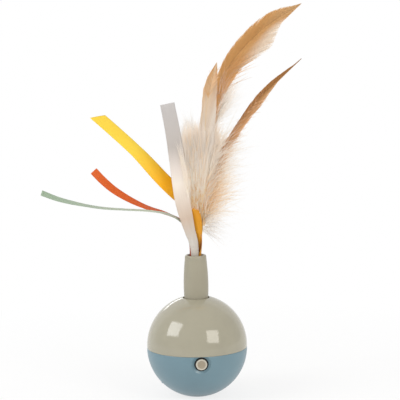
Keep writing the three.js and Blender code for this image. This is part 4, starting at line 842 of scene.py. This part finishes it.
# The dense middle, with its flat sides to the front and warmer low down.
for _ in range(3600):
    height = dice.uniform(25, 72)
    around = dice.uniform(-0.95, 0.95)
    x = tuft_x(height, right_halves if around > 0 else left_halves, around)
    y = np.interp(height, front_heights, [1.6, -1.2, -3.6, -4.4]) + dice.gauss(0, 0.2)
    if around > 0:
        y += 2 * around ** 2 + 5 * max(0, around - 0.35)
    else:
        y += -0.9 * around ** 2
    length = dice.uniform(9, 20)
    tone = dice.choice([ivory, ivory, pale, rose] if height < 58 else [mist, mist, rose])
    if dice.random() < (50 - height) / 18:
        tone = dice.choice([warm, warm, peach])
    wisp((x, y, height - 0.4 * length), around * 16 + dice.gauss(2, 5), dice.gauss(0, 0.04), length,
         dice.gauss(0, 0.04), dice.uniform(0.35, 0.75), tone, 0.015, turned_any=False)
# The back of the tuft.
for _ in range(1100):
    height = dice.uniform(26, 68)
    around = dice.uniform(-0.8, 0.8)
    x = tuft_x(height, left_halves, around)
    wisp((x, dice.uniform(0.5, 7), height - 4), around * 20, dice.gauss(0.1, 0.45), dice.uniform(8, 18),
         dice.gauss(0, 0.06), dice.uniform(0.25, 0.6), dice.choice([ivory, pale, rose]), 0.04)
# The fringe that stands out to the right.
for _ in range(1500):
    height = 18 + 50 * dice.betavariate(1.7, 1.7)
    x = tuft_x(height, right_halves, dice.uniform(0.3, 1.4))
    tone = dice.choice([rose, honey, honey, pale] if 24 < height < 43 else [rose, ivory, pale, pale])
    wisp((x, dice.gauss(3.6, 2), height), dice.gauss(56, 20), dice.gauss(0.1, 0.4), dice.uniform(9, 28),
         dice.gauss(0.02, 0.16), dice.uniform(0.16, 0.4), tone, 0.06)
# A few thin wisps below it.
for _ in range(220):
    height = dice.uniform(14, 26)
    wisp((dice.uniform(4, 9), dice.gauss(5, 1), height), dice.gauss(96, 22), dice.gauss(0, 0.2),
         dice.uniform(7, 18), dice.gauss(-0.05, 0.14), dice.uniform(0.1, 0.2), dice.choice([smoke, pale]),
         0.08)
# The left edge.
for _ in range(600):
    height = dice.uniform(34, 76)
    x = tuft_x(height, left_halves, -dice.uniform(0.6, 1))
    wisp((x, dice.gauss(1, 1), height), dice.gauss(-16, 12), dice.gauss(0, 0.2), dice.uniform(5, 15),
         dice.gauss(0.08, 0.1), dice.uniform(0.1, 0.22), dice.choice([mist, smoke, pale]), 0.05)
# Wisps that lie over the right edge of the white ribbon.
for _ in range(120):
    height = dice.uniform(40, 64)
    ribbon_edge = -2.4 - 0.158 * (height - 29.7)
    ribbon_front = -5.5 - 0.05 * (height - 45)
    wisp((ribbon_edge + dice.uniform(0.7, 3.4), ribbon_front + dice.gauss(0, 0.15), height - 4),
         dice.gauss(-9, 7), dice.gauss(-0.08, 0.03), dice.uniform(6, 13), dice.gauss(0, 0.08),
         dice.uniform(0.12, 0.24), dice.choice([ivory, pale]), 0.03, turned_any=False)
# The white fan at the foot of the long feather's vane.
for _ in range(1300):
    rise = dice.random()
    wisp((13 + 4 * rise, dice.gauss(5, 1), 76 + 14 * rise), dice.gauss(34, 14), dice.gauss(0, 0.2),
         dice.uniform(8, 24), dice.gauss(0.05, 0.1), dice.uniform(0.12, 0.24), dice.choice([snow, pale]),
         0.05)
# Wisps that join the dense middle to the fringe.
for _ in range(420):
    height = dice.uniform(27, 62)
    x = tuft_x(height, right_halves, dice.uniform(0.3, 0.95))
    y = np.interp(height, front_heights, [1.2, -1.4, -3.2, -3.6]) + dice.gauss(0.6, 0.5)
    tone = dice.choice([ivory, rose, honey if height < 46 else mist])
    wisp((x, y, height - 3), dice.gauss(28, 14), dice.gauss(0.05, 0.1), dice.uniform(7, 16),
         dice.gauss(0, 0.1), dice.uniform(0.22, 0.5), tone, 0.04, turned_any=False)
down_piece = down.piece("down_tuft", feather_material("down_keratin", clear=0.6))
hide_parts("down_plume")
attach(down_piece, "head")

# Works inside: the iron ballast, gear train, motor, switch, board, cells and screws stay as in the CAD.
# They are steel, brass, iron, nylon, glass-epoxy and enamel, and are seen only when the hatch is off.


def metal(name, colour, roughness):
    """Bare metal: brushed a little unevenly."""
    material, nodes, links, shader = new_material(name, roughness)
    place = nodes.new("ShaderNodeTexCoord")
    scratch = add_node(nodes, "ShaderNodeTexNoise", {"Scale": 700, "Detail": 5})
    links.new(place.outputs["Object"], scratch.inputs["Vector"])
    dull = add_node(nodes, "ShaderNodeMapRange", {"To Min": roughness * 0.7, "To Max": roughness * 1.4})
    links.new(scratch.outputs["Fac"], dull.inputs["Value"])
    links.new(dull.outputs["Result"], shader.inputs["Roughness"])
    shader.inputs["Base Color"].default_value = colour
    shader.inputs["Metallic"].default_value = 1
    return material


inner_pieces = [
    ("ballast_iron", metal("iron", screen(96, 98, 100), 0.55), ["ballast"]),
    ("screw_steel", metal("steel", screen(190, 192, 195), 0.3), [
        "ballast_screw", "shell_screw_left", "shell_screw_right", "cover_screw_right", "cover_screw_back",
        "cover_screw_left", "motor_screw_front", "motor_screw_back", "door_screw", "neck_screw",
        "idler_axle"]),
    ("motor_steel", metal("motor_steel", screen(205, 207, 208), 0.25),
     ["motor_can", "motor_armature", "battery_spring"]),
    ("cell_steel", metal("cell_steel", screen(214, 215, 216), 0.2),
     ["battery_cell_1", "battery_cell_2", "battery_cell_3"]),
    ("brass", metal("brass", screen(212, 178, 104), 0.28),
     ["lower_bush", "upper_bush", "motor_pinion", "side_contact", "door_contact"]),
    ("white_plastic", plastic("white_plastic", screen(226, 225, 220), 0.45),
     ["chassis", "gear_cover", "motor_endcap"]),
    ("gear_white", plastic("gear_white", screen(236, 234, 226), 0.4), ["idler_gear", "output_gear"]),
    ("black_plastic", plastic("black_plastic", screen(38, 38, 40), 0.45),
     ["switch_body", "switch_plunger", "controller_chip"]),
    ("board_green", plastic("board_green", screen(40, 96, 62), 0.4), ["circuit_board"]),
    ("wire_red", plastic("wire_red", screen(190, 40, 36), 0.45), ["motor_wire_red", "battery_wire_red"]),
    ("wire_black", plastic("wire_black", screen(34, 34, 36), 0.45),
     ["motor_wire_black", "battery_wire_black"]),
    ("glue", plastic("glue", screen(228, 220, 198), 0.3), ["glue_plug"]),
]
for finish_slot, finish, names in inner_pieces:
    for name in names:
        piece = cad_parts[name]
        piece.data.materials.clear()
        piece.data.materials.append(finish)

# Studio: a white floor that runs up behind the toy, with soft light all round.
# Two window-shaped lamps in front are what the glossy dome mirrors.
floor_front = -1.2
floor_back = 1.0
floor_bend = 0.6
floor_top = 2.4
floor_half = 2.5
bend_turns = np.linspace(0.1, math.pi / 2, 14)
sweep_line = [(floor_front, 0), (floor_back, 0)]
for turn in bend_turns:
    sweep_line.append((floor_back + floor_bend * math.sin(turn), floor_bend - floor_bend * math.cos(turn)))
sweep_line.append((floor_back + floor_bend, floor_top))
floor_points = []
floor_faces = []
for y, z in sweep_line:
    floor_points += [(-floor_half, y, z), (floor_half, y, z)]
for i in range(len(sweep_line) - 1):
    floor_faces.append((2 * i, 2 * i + 1, 2 * i + 3, 2 * i + 2))
floor_white, nodes, links, shader = new_material("floor_white", 0.9)
shader.inputs["Base Color"].default_value = (0.9, 0.9, 0.9, 1)
shader.inputs["Specular IOR Level"].default_value = 0
glow = add_node(nodes, "ShaderNodeEmission", {"Strength": 1})
place = nodes.new("ShaderNodeTexCoord")
away = add_node(nodes, "ShaderNodeVectorMath", operation="LENGTH")
links.new(place.outputs["Object"], away.inputs[0])
white_out = add_node(nodes, "ShaderNodeMapRange", {"From Min": 0.06, "From Max": 0.3, "To Min": 0.78})
links.new(away.outputs["Value"], white_out.inputs["Value"])
ray = nodes.new("ShaderNodeLightPath")
direct = add_node(nodes, "ShaderNodeMath", operation="MAXIMUM")
links.new(ray.outputs["Is Camera Ray"], direct.inputs[0])
links.new(ray.outputs["Is Glossy Ray"], direct.inputs[1])
seen = add_node(nodes, "ShaderNodeMath", operation="MAXIMUM")
links.new(direct.outputs["Value"], seen.inputs[0])
links.new(ray.outputs["Is Transmission Ray"], seen.inputs[1])
share_white = add_node(nodes, "ShaderNodeMath", operation="MULTIPLY")
links.new(seen.outputs["Value"], share_white.inputs[0])
links.new(white_out.outputs["Result"], share_white.inputs[1])
mixed = nodes.new("ShaderNodeMixShader")
links.new(share_white.outputs["Value"], mixed.inputs["Fac"])
links.new(shader.outputs["BSDF"], mixed.inputs[1])
links.new(glow.outputs["Emission"], mixed.inputs[2])
links.new(mixed.outputs["Shader"], nodes["Material Output"].inputs["Surface"])
floor = add_mesh("floor", floor_points, floor_faces, floor_white)

world = bpy.data.worlds.new("studio")
world.use_nodes = True
nodes = world.node_tree.nodes
links = world.node_tree.links
ray = nodes.new("ShaderNodeLightPath")
level_of_light = add_node(nodes, "ShaderNodeMapRange", {"To Min": 0.705, "To Max": 1})
links.new(ray.outputs["Is Camera Ray"], level_of_light.inputs["Value"])
links.new(level_of_light.outputs["Result"], nodes["Background"].inputs["Strength"])
nodes["Background"].inputs["Color"].default_value = (1, 1, 1, 1)
bpy.context.scene.world = world


def lamp(name, heading, distance, width, height, power, turn=0, tint=(1, 1, 1)):
    """A flat soft lamp that faces the ball, out along a heading from it and turned about it in degrees."""
    light = bpy.data.lights.new(name, "AREA")
    light.shape = "RECTANGLE"
    light.size = width
    light.size_y = height
    light.energy = power
    light.color = tint
    holder = bpy.data.objects.new(name, light)
    toward = Vector(heading).normalized()
    holder.location = Vector((0, 0, seam * millimetre)) + toward * distance
    level_lamp = toward.to_track_quat("Z", "Y").to_matrix()
    holder.rotation_euler = (level_lamp @ Matrix.Rotation(math.radians(turn), 3, "Z")).to_euler()
    holder.visible_camera = False
    bpy.context.scene.collection.objects.link(holder)


lamp("window_left", (-0.798, -0.244, 0.62), 1.2, 0.64, 0.6, 5.4, turn=14)
lamp("window_right", (0.539, -0.754, 0.45), 1.2, 0.58, 0.58, 4.35, turn=-12, tint=(1, 0.96, 0.9))
lamp("strip_behind", (-0.17, 0.94, 0.3), 1.0, 0.4, 0.08, 0.35)
